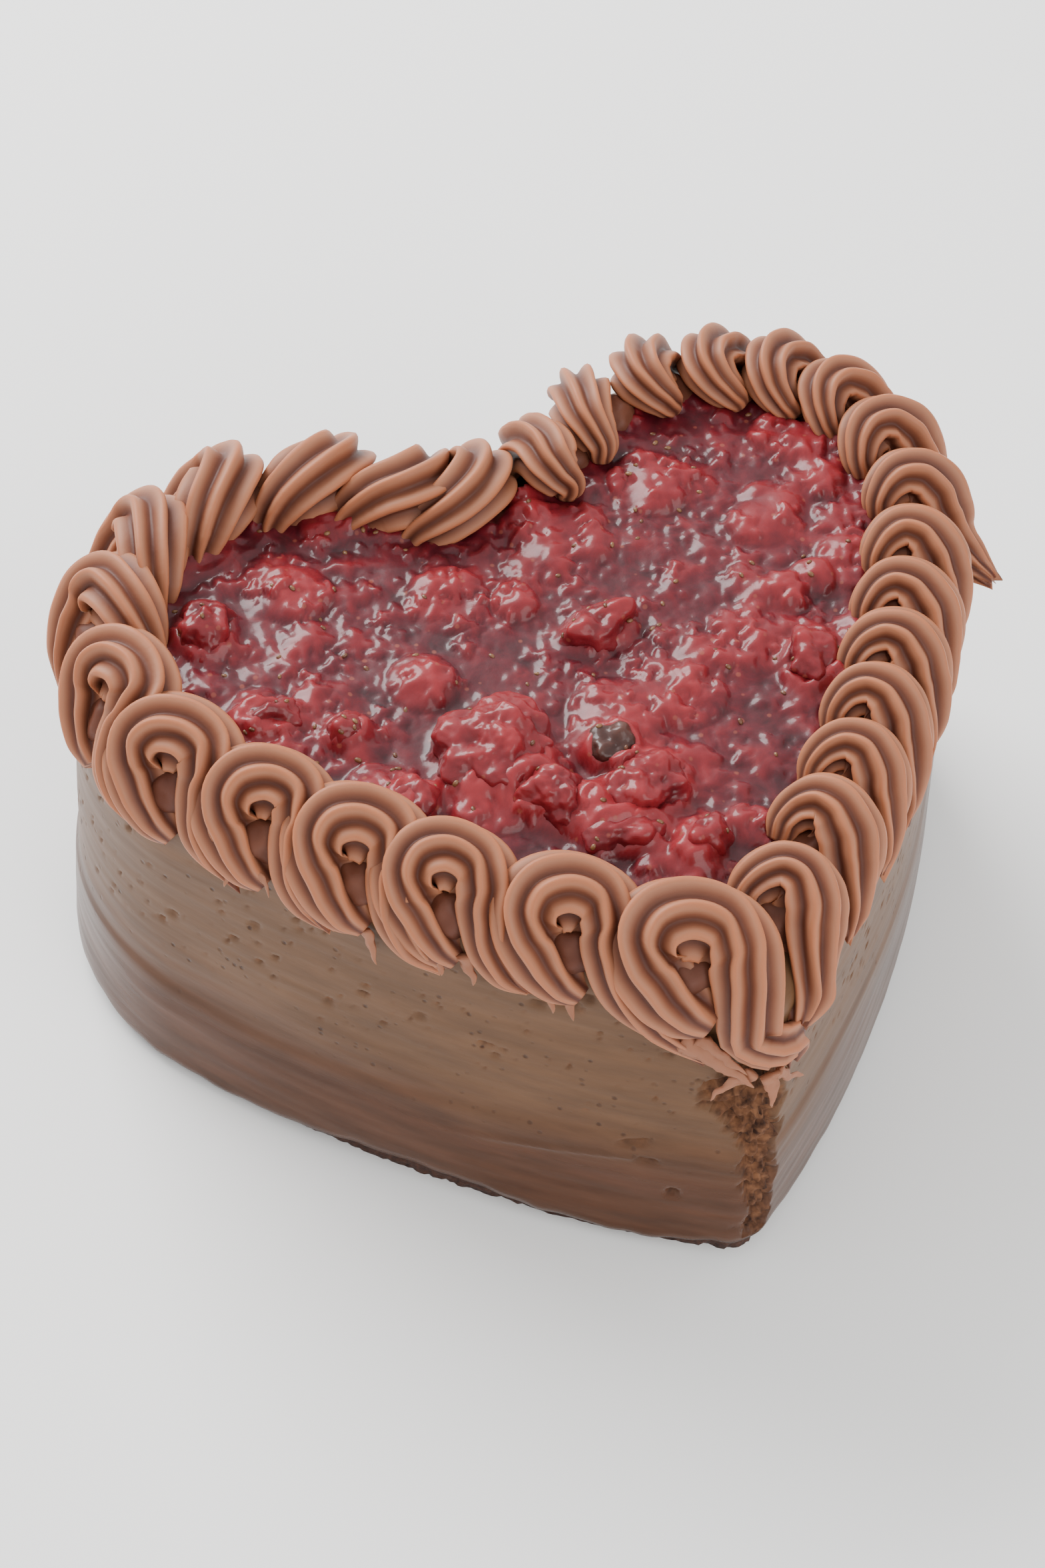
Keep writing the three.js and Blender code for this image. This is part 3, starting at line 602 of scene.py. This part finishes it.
def pipe_loop(loop):
    frames = rope_frames(loop, ALONG + 1)
    seed = 7.3 * loop["seed"]

    def bend(u, v):
        place, side, crest, radius, turn = frames[round(v * ALONG)]
        angle = 2 * math.pi * u
        x, y = math.cos(angle), math.sin(angle)
        drift = RIDGE_DRIFT * wobble(v * 20, seed, 0, 6.0)
        groove = abs(math.cos(RIDGES / 2 * (angle + drift))) ** 1.8
        torn = max(0.0, (v - TORN_FROM) / (1 - TORN_FROM))
        uneven = 1 + UNEVEN * wobble(x * 8, y * 8 + seed, v * 30, 5.0)
        uneven += RAGGED * torn * wobble(x * 6, y * 6 + seed, v * 10, 1.9)
        fade = min(1.0, v * 9, (1 - v) * 14)
        share = (1 - RIDGE_DEPTH * groove * fade) * uneven
        offset = (side * x + crest * y) * radius * share
        squeeze = offset.dot(turn)
        if squeeze > TIGHTEST:
            offset *= TIGHTEST / squeeze
        strand = side.cross(crest) * STRAND_PULL * torn * wobble(x * 4, y * 4 + seed, 0, 1.5)
        # The second value is the colour share: painted shade in the grooves, painted light on the
        # crests.
        return place + offset + strand, 1 - groove

    rope = bent_sheet(AROUND, ALONG, bend, wrap=True)
    close_ends(rope)
    fill_eye(rope, loop)
    return piece(loop["name"] + "_rope", rope, BUTTERCREAM, [loop["name"]])


ropes = [pipe_loop(loop) for loop in LOOPS]
print("ropes piped:", len(ropes), "with", len(ropes[0].data.polygons), "faces each")

# %% Torn ends
# Each strand on the wall: [distance from the point and height at its root, the same at its tip, width].
FLICKS = [
    [-4.0, 53.0, -10.4, 46.6, 2.6], [-0.5, 52.0, 0.6, 45.4, 3.0], [1.5, 52.0, 7.8, 45.4, 2.2],
    [-67.5, 63.0, -65.2, 57.2, 2.2], [-87.5, 66.0, -83.6, 62.8, 2.0], [-91.0, 65.0, -92.0, 60.0, 2.0],
    [-35.0, 64.0, -32.4, 58.8, 2.4], [-37.5, 64.0, -36.2, 59.2, 2.0], [-55.5, 65.0, -54.0, 60.4, 2.6],
    [-51.0, 65.0, -48.8, 60.4, 2.8], [-46.5, 65.5, -44.6, 62.2, 2.4],
    [-16.0, 58.0, -3.5, 51.2, 4.2], [-13.5, 59.0, -5.0, 54.0, 3.4]]
STRAND_SWAY, STRAND_CURL, STRAND_FLATNESS = 1.6, 1.3, 0.45


def flick(index, row):
    """A strand of cream that the nozzle tore off: it tapers and curls a little off the wall."""
    s0, z0, s1, z1, width = row
    run, drop = s1 - s0, z1 - z0
    slant = math.hypot(run, drop)

    def bend(u, v):
        angle, taper = 2 * math.pi * u, (1 - v) ** 0.7 + 0.06
        thick = 0.5 * width * taper * (1 + 0.6 * wobble(v * slant, index, 4 * math.cos(angle), 1.3))
        sway = STRAND_SWAY * v * wobble(v * slant, 5 * index, 0, 2.6)
        s, z = mix(s0, s1, v) - sway * drop / slant, mix(z0, z1, v) + sway * run / slant
        point, out = FOOT.at(s)
        along = Vector((-out.y, out.x, 0))
        stand = 1.0 + STRAND_CURL * v * v - WALL_LEAN * z / CAKE_TOP
        middle = Vector((point.x + OFF_X, point.y + OFF_Y, z)) + out.to_3d() * stand
        across = (along * -drop + Vector((0, 0, run))) / slant
        edge = across * math.cos(angle) + out.to_3d() * STRAND_FLATNESS * math.sin(angle)
        return middle + edge * thick, 0.6

    strand = bent_sheet(12, 14, bend, wrap=True)
    close_ends(strand)
    return piece(f"torn_end_{index + 1:02d}", strand, BUTTERCREAM)


flicks = [flick(i, row) for i, row in enumerate(FLICKS)]
print("torn ends:", len(flicks))

# %% [markdown]
# ## The icing's wall and top
# The coat is a sheet wrapped round the heart, from inside its lower edge, up the wall, over the
# rounded top edge and in under the compote. The knife left relief that shows in raking light: a
# step where the lower coat ends, long drag marks, a thin raised line, a few slots and holes, and
# at the point of the heart the coat broke away to crumb.

# %% Profile of the coat
WALL_AROUND, WALL_UP = 760, 108
LIP_SHARE, WALL_SHARE, EDGE_SHARE = 0.03, 0.8, 0.88  # where on the sheet each stretch ends
LIP_BEVEL, TOP_INSET = 0.7, 26.0
# How high the ragged lower edge hangs at a distance from the point (left is negative), in mm.
LIP_EDGE = [(-236, 4.0), (-150, 3.5), (-100, 1.6), (-84, 2.2), (-65, 5.0), (-50, 5.6), (-36, 3.4),
            (-18, 2.6), (-6, 4.8), (4, 5.2), (30, 3.6), (90, 4.8), (150, 4.0), (236, 4.0)]


def line_at(value, line):
    """The value of a broken line of (place, value) corners."""
    return float(np.interp(value, *zip(*line)))


def lip_height(s):
    return line_at(s, LIP_EDGE) + 0.8 * wobble(s, 0, 0, 5.0, 2.1)


def profile(v, lip):
    """Inset and height at v: up the inside of the lip, up the wall, round the edge and inwards."""
    wall_top = CAKE_TOP - EDGE_RADIUS
    if v < LIP_SHARE:
        inside_lip = 1 - v / LIP_SHARE
        return mix(LIP_BEVEL, ICING, inside_lip), lip + 1.2 * inside_lip
    if v < WALL_SHARE:
        z = mix(lip, wall_top, (v - LIP_SHARE) / (WALL_SHARE - LIP_SHARE))
        return WALL_LEAN * z / CAKE_TOP + LIP_BEVEL * max(0.0, 1 - (z - lip) / 1.5), z
    if v < EDGE_SHARE:
        turn = (v - WALL_SHARE) / (EDGE_SHARE - WALL_SHARE) * math.pi / 2
        lean = WALL_LEAN * wall_top / CAKE_TOP
        return lean + EDGE_RADIUS * (1 - math.cos(turn)), wall_top + EDGE_RADIUS * math.sin(turn)
    lean = WALL_LEAN * wall_top / CAKE_TOP + EDGE_RADIUS
    return mix(lean, TOP_INSET, (v - EDGE_SHARE) / (1 - EDGE_SHARE)), CAKE_TOP


# The step between the coats, and the left and right edges of the broken corner: [where, value].
STEP_LINE = [(-236, 27), (-140, 25), (-105, 22.8), (-60, 23.5), (-26, 28.6), (0, 29), (120, 27),
             (236, 27)]
BROKEN_LEFT = [(0, 1.5), (6, 0.5), (19.5, -1.8), (35, -6.2), (44.5, -12.4), (51, -8.5), (57, -2)]
BROKEN_RIGHT = [(0, 4), (20, 5), (40, 7), (52, 6), (57, 2)]
# Marks in the coat: [distance from the point, height, length, width, slope, how deep in mm].
MARKS = [
    [-32.5, 22.2, 32, 1.0, 0.2, -0.4], [-21.0, 27.8, 5.2, 1.3, 0.3, 0.9],
    [-18.6, 24.3, 3.4, 1.1, 0.0, 0.8], [-13.9, 16.5, 1.8, 1.6, 0.0, 1.3],
    [-34.1, 58.8, 4.0, 2.0, 0.1, 0.8], [-38.8, 57.0, 3.0, 1.4, 0.0, 0.6],
    [-31.0, 61.5, 2.4, 1.6, 0.0, 0.7], [-58.0, 45.0, 2.2, 1.2, 0.1, 0.5],
    [-74.0, 39.0, 1.8, 1.2, 0.0, 0.5], [-88.0, 50.0, 2.0, 1.4, 0.0, 0.5],
    [-45.0, 41.0, 1.6, 1.0, 0.0, 0.5], [-104.0, 42.0, 2.0, 1.3, 0.0, 0.5]]


BROKEN_TOP, CRUMB_DEPTH, RELIEF_TO = 57, 1.6, 0.82
# How far the coat keeps inside its solid, and the height and softness of the step, in mm.
KEEP_IN, STEP_HEIGHT, STEP_SOFTNESS = 0.2, 0.5, 0.35
# Drag marks and the broad waves of the knife as (height, size), and pits as (size, rarity, depth).
DRAG, SWELL, PITS = (0.1, 1.5), (0.4, 26.0), (1.1, 0.48, 2.0)


def broken_share(s, z):
    """1 where the coat has broken away to crumb, 0 where it is whole."""
    ragged = 2.6 * wobble(s, z, 0, 4.0, 5.5) + 2.2 * wobble(s, z, 0, 1.7, 2.5)
    left, right = s - line_at(z, BROKEN_LEFT) + ragged, line_at(z, BROKEN_RIGHT) - s + ragged
    return min(1.0, max(0.0, min(left, right, BROKEN_TOP - z) / 1.2))


def relief(s, z, x, y):
    """How far the coat stands out of its smooth form in mm, and how much painted shade its pits get."""
    step = line_at(s, STEP_LINE) + 1.5 * wobble(x, y, 0, 24.0, 4.0)
    above = STEP_HEIGHT / (1 + math.exp(-(z - step) / STEP_SOFTNESS))
    out = -KEEP_IN - above * max(0.0, 1 - max(0.0, z - step) / 40)
    out += DRAG[0] * wobble(x / 14, y / 14, z, DRAG[1], 1.0)
    out += SWELL[0] * wobble(x, y, z * 2, SWELL[1], 5.0)
    upper = min(1.0, max(0.0, (z - 30) / 10))
    pit = upper * max(0.0, wobble(x / 1.6, y / 1.6, z, PITS[0], 9.0) - PITS[1])
    for at, height, length, width, slope, deep in MARKS:
        along, across = s - at, z - height - slope * (s - at)
        if abs(along) < length and abs(across) < 3 * width:
            mark = deep * math.exp(-(2 * along / length) ** 4 - (2 * across / width) ** 2)
            out, pit = out - mark, pit + max(0.0, mark) / 6
    # The second value gives pits and holes the dark crumb colour: painted shade.
    return out - PITS[2] * pit, min(0.6, 4 * pit)


def wall_bend(u, v):
    s = u * FOOT.length
    point, out = FOOT.at(s)
    signed = s if s < FOOT.length / 2 else s - FOOT.length
    inset, z = profile(v, max(0.6, lip_height(signed)))
    x, y = point - out * inset
    crumb_and_pit_shade = 0.0
    if LIP_SHARE < v < RELIEF_TO:
        fade = min(1.0, (v - LIP_SHARE) * 40, (RELIEF_TO - v) * 30)
        crumb_and_pit_shade = broken_share(signed, z)
        crumbs = 0.35 + 1.5 * abs(wobble(x, y, z, 3.0, 3.0)) + 1.1 * wobble(x, y, z, 1.3, 6.0)
        stands, pit_shade = relief(signed, z, x, y)
        x, y = point - out * (inset - (stands - CRUMB_DEPTH * crumb_and_pit_shade * crumbs) * fade)
        # Pits and holes join the crumb mask as painted shade.
        crumb_and_pit_shade = max(crumb_and_pit_shade, pit_shade * fade)
    return Vector((x + OFF_X, y + OFF_Y, z)), crumb_and_pit_shade


print("coat: about", WALL_AROUND * WALL_UP * 2, "triangles")

# %% The coat
coat = bent_sheet(WALL_AROUND, WALL_UP, wall_bend, wrap=True)
loose = [e for e in coat.edges if e.is_boundary and e.verts[0].co.z > CAKE_TOP / 2]
top = bmesh.ops.holes_fill(coat, edges=loose, sides=0)["faces"]
bmesh.ops.poke(coat, faces=top)
icing_coat = piece("icing_coat", coat, ICING_FINISH, ["icing"])
print("coat:", len(icing_coat.data.polygons), "faces")

# %% [markdown]
# ## The sponge
# Baked in a heart-shaped tin and left whole, the sponge is hidden by its icing but for the last few
# millimetres at the foot. It is one sheet round the same heart, a coat's thickness further in, with
# its rows packed towards the foot, where open crumb is worth modelling, and closed above and below.

# %% Sponge body
# The lowest band of the sponge, in mm, gets this share of its rows.
FOOT_BAND, FOOT_SHARE = 12, 0.7


def sponge_bend(u, v):
    s = u * FOOT.length
    point, out = FOOT.at(s)
    if v < FOOT_SHARE:
        z = FOOT_BAND * v / FOOT_SHARE
    else:
        z = mix(FOOT_BAND, CAKE_TOP - ICING - GAP, (v - FOOT_SHARE) / (1 - FOOT_SHARE))
    x, y = point
    crumbs = 0.9 * abs(wobble(x, y, z, 2.6, 2.0)) + 0.5 * abs(wobble(x, y, z, 1.1, 7.0))
    inset = WALL_LEAN * z / CAKE_TOP + ICING + GAP + crumbs * min(1.0, (1 - v) * 5)
    x, y = point - out * inset
    return Vector((x + OFF_X, y + OFF_Y, z)), 0.0


body = bent_sheet(620, 26, sponge_bend, wrap=True)
close_ends(body)
sponge_body = piece("sponge_body", body, SPONGE, ["cake"])
print("sponge:", len(sponge_body.data.polygons), "faces")

# %% [markdown]
# ## The compote
# Spooned on top and levelled by its own weight, the compote is one wet surface with soft lumps of
# fruit in it. A fine net over the heart takes its height from a rule: the tallest lump at a place
# wins, which leaves creases between neighbours, and syrup fills what lies low. The broad lumps are
# those of the solid; smaller ones and torn skin come on top of them.

# %% Heights of the compote
SYRUP = 70.9
# Lumps as (x, y, radius, height), strewn evenly over the heart's box.
BROAD = [(mix(-66, 66, scatter(i, 11)), mix(-56, 56, scatter(i, 12)),
          mix(4.2, 8.5, scatter(i, 13)), mix(0.9, 3.0, scatter(i, 14))) for i in range(90)]
SMALL = [(mix(-66, 66, scatter(i, 21)), mix(-58, 58, scatter(i, 22)),
          mix(1.5, 4.2, scatter(i, 23) ** 2), mix(0.5, 2.0, scatter(i, 24))) for i in range(1000)]
# Each piece of fruit: [x, y, length, width, height, turn in degrees].
FRUIT = [
    [-20.5, -6.0, 20, 17, 13, 25], [-16.0, -18.5, 16, 11, 11, -50], [-2.6, -22.6, 17, 12, 10, 15],
    [-8.6, -29.4, 14, 7, 8, -8], [2.0, -34.6, 11, 7, 8, 35], [-3.3, -13.2, 9, 8, 8, 20],
    [-36.0, -10.6, 9, 7, 7, 30], [-51.0, 13.6, 12, 7, 8, -15], [-53.0, 35.0, 12, 10, 9, 60],
    [34.6, -8.6, 12, 9, 9, 50], [-40.0, 6.4, 8, 6, 7, 0], [6.0, 10.8, 14, 8, 8, 10]]
DARK_FRUIT = 6
# What each kind of lump and noise adds, how the syrup climbs at fruit, and how softly it floods, in mm.
BROAD_SHARE, SMALL_SHARE, TORN_SKIN, PULP = 0.85, 0.65, 0.8, 0.1
CLIMB, FLOOD = 1.7, 0.35


def domes(x, y, lumps):
    """The tallest dome over each place, for arrays x and y in millimetres."""
    tallest = np.zeros_like(x)
    for cx, cy, radius, height in lumps:
        near = (np.abs(x - cx) < radius) & (np.abs(y - cy) < radius)
        if near.any():
            share = 1 - ((x[near] - cx) ** 2 + (y[near] - cy) ** 2) / radius ** 2
            tallest[near] = np.maximum(tallest[near], height * np.sqrt(np.clip(share, 0, 1)))
    return tallest


def compote_height(x, y):
    """Height over the syrup's level, and a colour share that rises with it: flesh over syrup, and
    painted shade low down.
    """
    broad = domes(x, y, BROAD)
    small = domes(x + 0.8 * np.sin(y * 1.9), y + 0.8 * np.sin(x * 2.3), SMALL)
    torn = np.array([wobble(a, b, 0, 4.4, 2.0) for a, b in zip(x, y)])
    pulp = np.array([wobble(a, b, 0, 1.8, 8.0) for a, b in zip(x, y)])
    rise = BROAD_SHARE * broad + SMALL_SHARE * small + TORN_SKIN * torn + PULP * pulp
    for cx, cy, length, width, _, turn in FRUIT:
        cos, sin = math.cos(math.radians(turn)), math.sin(math.radians(turn))
        along = ((x - cx) * cos + (y - cy) * sin) / length
        across = ((y - cy) * cos - (x - cx) * sin) / width
        apart = np.maximum(2 * np.hypot(along, across) - 0.85, 0)
        rise += CLIMB * np.exp(-(apart / 0.28) ** 2)
    flooded = FLOOD * np.log1p(np.exp((rise - 0.25) / FLOOD))
    return flooded - FLOOD, np.clip(0.22 + rise * 0.2, 0, 1)


print("lumps:", len(BROAD), "broad and", len(SMALL), "small")


# %% The compote's net
def inside(points, outline):
    """Which of the points (n, 2) lie inside the closed outline."""
    ring = np.array([[p.x, p.y] for p in outline])
    following = np.roll(ring, -1, axis=0)
    odd = np.zeros(len(points), dtype=bool)
    for (x0, y0), (x1, y1) in zip(ring, following):
        spans = (y0 > points[:, 1]) != (y1 > points[:, 1])
        if spans.any() and y0 != y1:
            odd ^= spans & (points[:, 0] < (x1 - x0) * (points[:, 1] - y0) / (y1 - y0) + x0)
    return odd


def make_compote():
    bm = bmesh.new()
    bmesh.ops.create_grid(bm, x_segments=290, y_segments=250, size=0.5)
    bmesh.ops.scale(bm, vec=(136, 120, 1), verts=bm.verts)
    flat = np.array([[v.co.x, v.co.y] for v in bm.verts])
    within = inside(flat, heart(10.5, 2))
    rise, flesh = compote_height(flat[:, 0], flat[:, 1])
    relief_layer = bm.verts.layers.float.new("relief")
    for vert, up, share in zip(bm.verts, rise, flesh):
        vert.co = (vert.co.x + OFF_X, vert.co.y + OFF_Y, SYRUP + up)
        vert[relief_layer] = share
    outer = [vert for vert, keep in zip(bm.verts, within) if not keep]
    bmesh.ops.delete(bm, geom=outer, context="VERTS")
    rim = [edge for edge in bm.edges if edge.is_boundary]
    skirt = bmesh.ops.extrude_edge_only(bm, edges=rim)["geom"]
    for vert in (part for part in skirt if isinstance(part, bmesh.types.BMVert)):
        vert.co.z = CAKE_TOP + GAP
    return piece("berry_compote", bm, COMPOTE_FINISH, ["compote"])


compote = make_compote()
print("compote:", len(compote.data.polygons), "faces")

# %% [markdown]
# ## Fruit that stands out
# The larger pieces lie a little more than half out of the syrup. Each is a sphere of small
# triangles, pushed in and out by soft noise: cooked fruit has no crisp edge left, but torn, knobbly
# flesh. Kneading a coarse lump by hand would do for one piece, but a rule suits all twelve.

# %% Fruit
# Knobs of the flesh as (height, size) in mm, and the torn folds between them.
KNOBS, SMALL_KNOBS, SKIN, FOLDS = (1.3, 4.2), (0.6, 1.9), (0.18, 0.9), (1.5, 6.0)
SUNK = 0.1  # how far a piece's middle lies over the syrup, as a share of its height


def stew(index, row):
    x, y, length, width, height, turn = row
    angle = math.radians(turn)
    bm = bmesh.new()
    bmesh.ops.create_icosphere(bm, subdivisions=6 if index < 3 else 5, radius=1.0)
    layer = bm.verts.layers.float.new("relief")
    for vert in bm.verts:
        p = vert.co.copy()
        bulge = 1 + 0.09 * math.sin(4.3 * p.x + index) * math.cos(3.7 * p.y)
        bulge += 0.07 * math.sin(5.1 * p.z + 2 * index)
        across = Vector((p.x * length / 2, p.y * width / 2, p.z * height / 2)) * bulge
        knobs = KNOBS[0] * wobble(*across, KNOBS[1], index)
        knobs += SMALL_KNOBS[0] * wobble(*across, SMALL_KNOBS[1], index + 0.5)
        knobs += FOLDS[0] * max(0.0, abs(wobble(*across, FOLDS[1], index + 9.0)) - 0.1) - 0.5
        knobs += SKIN[0] * wobble(*across, SKIN[1], index + 4.0)
        across += p.normalized() * knobs * min(1.0, height / 9)
        # Painted light and shade: each piece is lighter towards its top and on its knobs, darker in its
        # folds.
        vert[layer] = min(1.0, max(0.0, 0.45 + 0.07 * across.z + 0.25 * knobs))
        vert.co = (x + OFF_X + across.x * math.cos(angle) - across.y * math.sin(angle),
                   y + OFF_Y + across.x * math.sin(angle) + across.y * math.cos(angle),
                   SYRUP + height * SUNK + across.z)
    dark = index + 1 == DARK_FRUIT
    name = f"fruit_{index + 1:02d}"
    return piece("stewed_" + name, bm, DARK_BERRY if dark else BERRY,
                 [name])


berries = [stew(i, row) for i, row in enumerate(FRUIT)]
print("fruit pieces:", len(berries))

# %% [markdown]
# ## Seeds
# Stewed strawberries and raspberries let go of their seeds: flat tan grains of a good millimetre
# that lie half sunk in the flesh and the film. Each is a small sphere squashed to size and laid
# along the surface that it sits in. They could be texture, but they catch single glints as forms.
# Their skin is smooth and woody, in two tans, so its noise is about as large as a seed.

# %% Seed finish and seeds
def make_seed_finish():
    material, tree, shader = new_material("tan_berry_seed")
    place = add(tree, "ShaderNodeTexCoord").outputs["Object"]
    tint = add(tree, "ShaderNodeTexNoise", None, Vector=place, Scale=1 / (2.0 * MM))
    colour = ramp(tree, tint.outputs["Fac"], [(0.35, "#5a3320"), (0.65, "#7d5836")])
    tree.links.new(colour, shader.inputs["Base Color"])
    shader.inputs["Roughness"].default_value = 0.35
    return material


ON_COMPOTE, ON_BERRY = 110, 9  # how many seeds are tried; those on steep flanks are dropped


def seed_places():
    """(place, upward direction) in millimetres, over the compote and over every berry."""
    places = []
    for surface, count in [(compote, ON_COMPOTE)] + [(berry, ON_BERRY) for berry in berries]:
        verts = surface.data.vertices
        for i in range(count):
            vert = verts[int(scatter(i, 31 + len(places)) * len(verts))]
            if vert.normal.z > 0.35:
                places.append((vert.co / MM, vert.normal.copy()))
    return places


def sow(places):
    bm = bmesh.new()
    for i, (place, up) in enumerate(places):
        grain = bmesh.ops.create_icosphere(bm, subdivisions=2, radius=0.5)["verts"]
        turn = up.to_track_quat("Z", "Y").to_matrix().to_4x4()
        turn = Matrix.Translation(place) @ turn @ Matrix.Rotation(6.28 * scatter(i, 41), 4, "Z")
        size = mix(0.9, 1.3, scatter(i, 42))
        bmesh.ops.transform(bm, verts=grain, matrix=turn @ Matrix.Diagonal((size, size * 0.65, 0.6, 1)))
    return piece("berry_seeds", bm, make_seed_finish())


seeds = sow(seed_places())
print("seeds:", len(seeds.data.polygons) // 80)

# %% [markdown]
# ## Floor, light and camera
# The floor is pale and matt. The light is that of a room by day: a bright sky all round, a large
# soft window behind the cake, whose reflection lies on every wet lump, and a weaker one in front.

# %% Floor
def make_floor():
    bm = bmesh.new()
    bmesh.ops.create_grid(bm, x_segments=1, y_segments=1, size=4.0)
    mesh = bpy.data.meshes.new("floor")
    bm.to_mesh(mesh)
    bm.free()
    floor = bpy.data.objects.new("floor", mesh)
    bpy.context.collection.objects.link(floor)
    material, tree, shader = new_material("matt_white_tabletop")
    shader.inputs["Base Color"].default_value = linear("#fbfbfa")
    shader.inputs["Roughness"].default_value = 0.7
    mesh.materials.append(material)
    return floor


floor = make_floor()
print("floor:", round(floor.dimensions.x), "m wide")


# %% Light
def soft_light(name, place, aim, size, power, colour):
    lamp = bpy.data.lights.new(name, "AREA")
    lamp.shape = "RECTANGLE"
    lamp.size, lamp.size_y = size
    lamp.energy = power
    lamp.color = colour
    holder = bpy.data.objects.new(name, lamp)
    holder.location = place
    holder.rotation_euler = (Vector(aim) - Vector(place)).to_track_quat("-Z", "Y").to_euler()
    bpy.context.collection.objects.link(holder)


soft_light("window", (-0.25, 1.0, 0.85), (0, 0, 0.05), (0.9, 0.7), 29.0, (1.0, 0.99, 0.99))
soft_light("front_fill", (0.35, -1.0, 0.8), (0, 0, 0.03), (0.9, 0.9), 8.0, (1.0, 0.99, 0.97))
world = bpy.data.worlds.new("day_room")
world.use_nodes = True
world.node_tree.nodes["Background"].inputs["Color"].default_value = (1.0, 1.0, 1.0, 1.0)
world.node_tree.nodes["Background"].inputs["Strength"].default_value = 1.15
bpy.context.scene.world = world
print("lights:", [lamp.name for lamp in bpy.data.lights])

# %% Camera
ELEVATION, AZIMUTH, ROLL = math.radians(51.07), math.radians(27.47), math.radians(3.75)
DISTANCE, TARGET = 636.16, Vector((7.74, 37.61, 0.0))


def make_camera():
    lens = bpy.data.cameras.new("camera")
    lens.sensor_fit = "VERTICAL"
    lens.sensor_height = 36.0
    lens.lens = 80.0
    back = Vector((-math.sin(AZIMUTH) * math.cos(ELEVATION),
                   -math.cos(AZIMUTH) * math.cos(ELEVATION), math.sin(ELEVATION)))
    right = (-back).cross(Vector((0, 0, 1))).normalized()
    up = right.cross(-back)
    turned_right = right * math.cos(ROLL) + up * math.sin(ROLL)
    turned_up = up * math.cos(ROLL) - right * math.sin(ROLL)
    camera = bpy.data.objects.new("camera", lens)
    bpy.context.collection.objects.link(camera)
    place = (TARGET + back * DISTANCE + Vector((OFF_X, OFF_Y, 0))) * MM
    rows = [[turned_right[i], turned_up[i], back[i], place[i]] for i in range(3)]
    camera.matrix_world = Matrix(rows + [[0, 0, 0, 1]])
    bpy.context.scene.camera = camera
    return camera


camera = make_camera()
print("camera at", [round(c, 3) for c in camera.location])
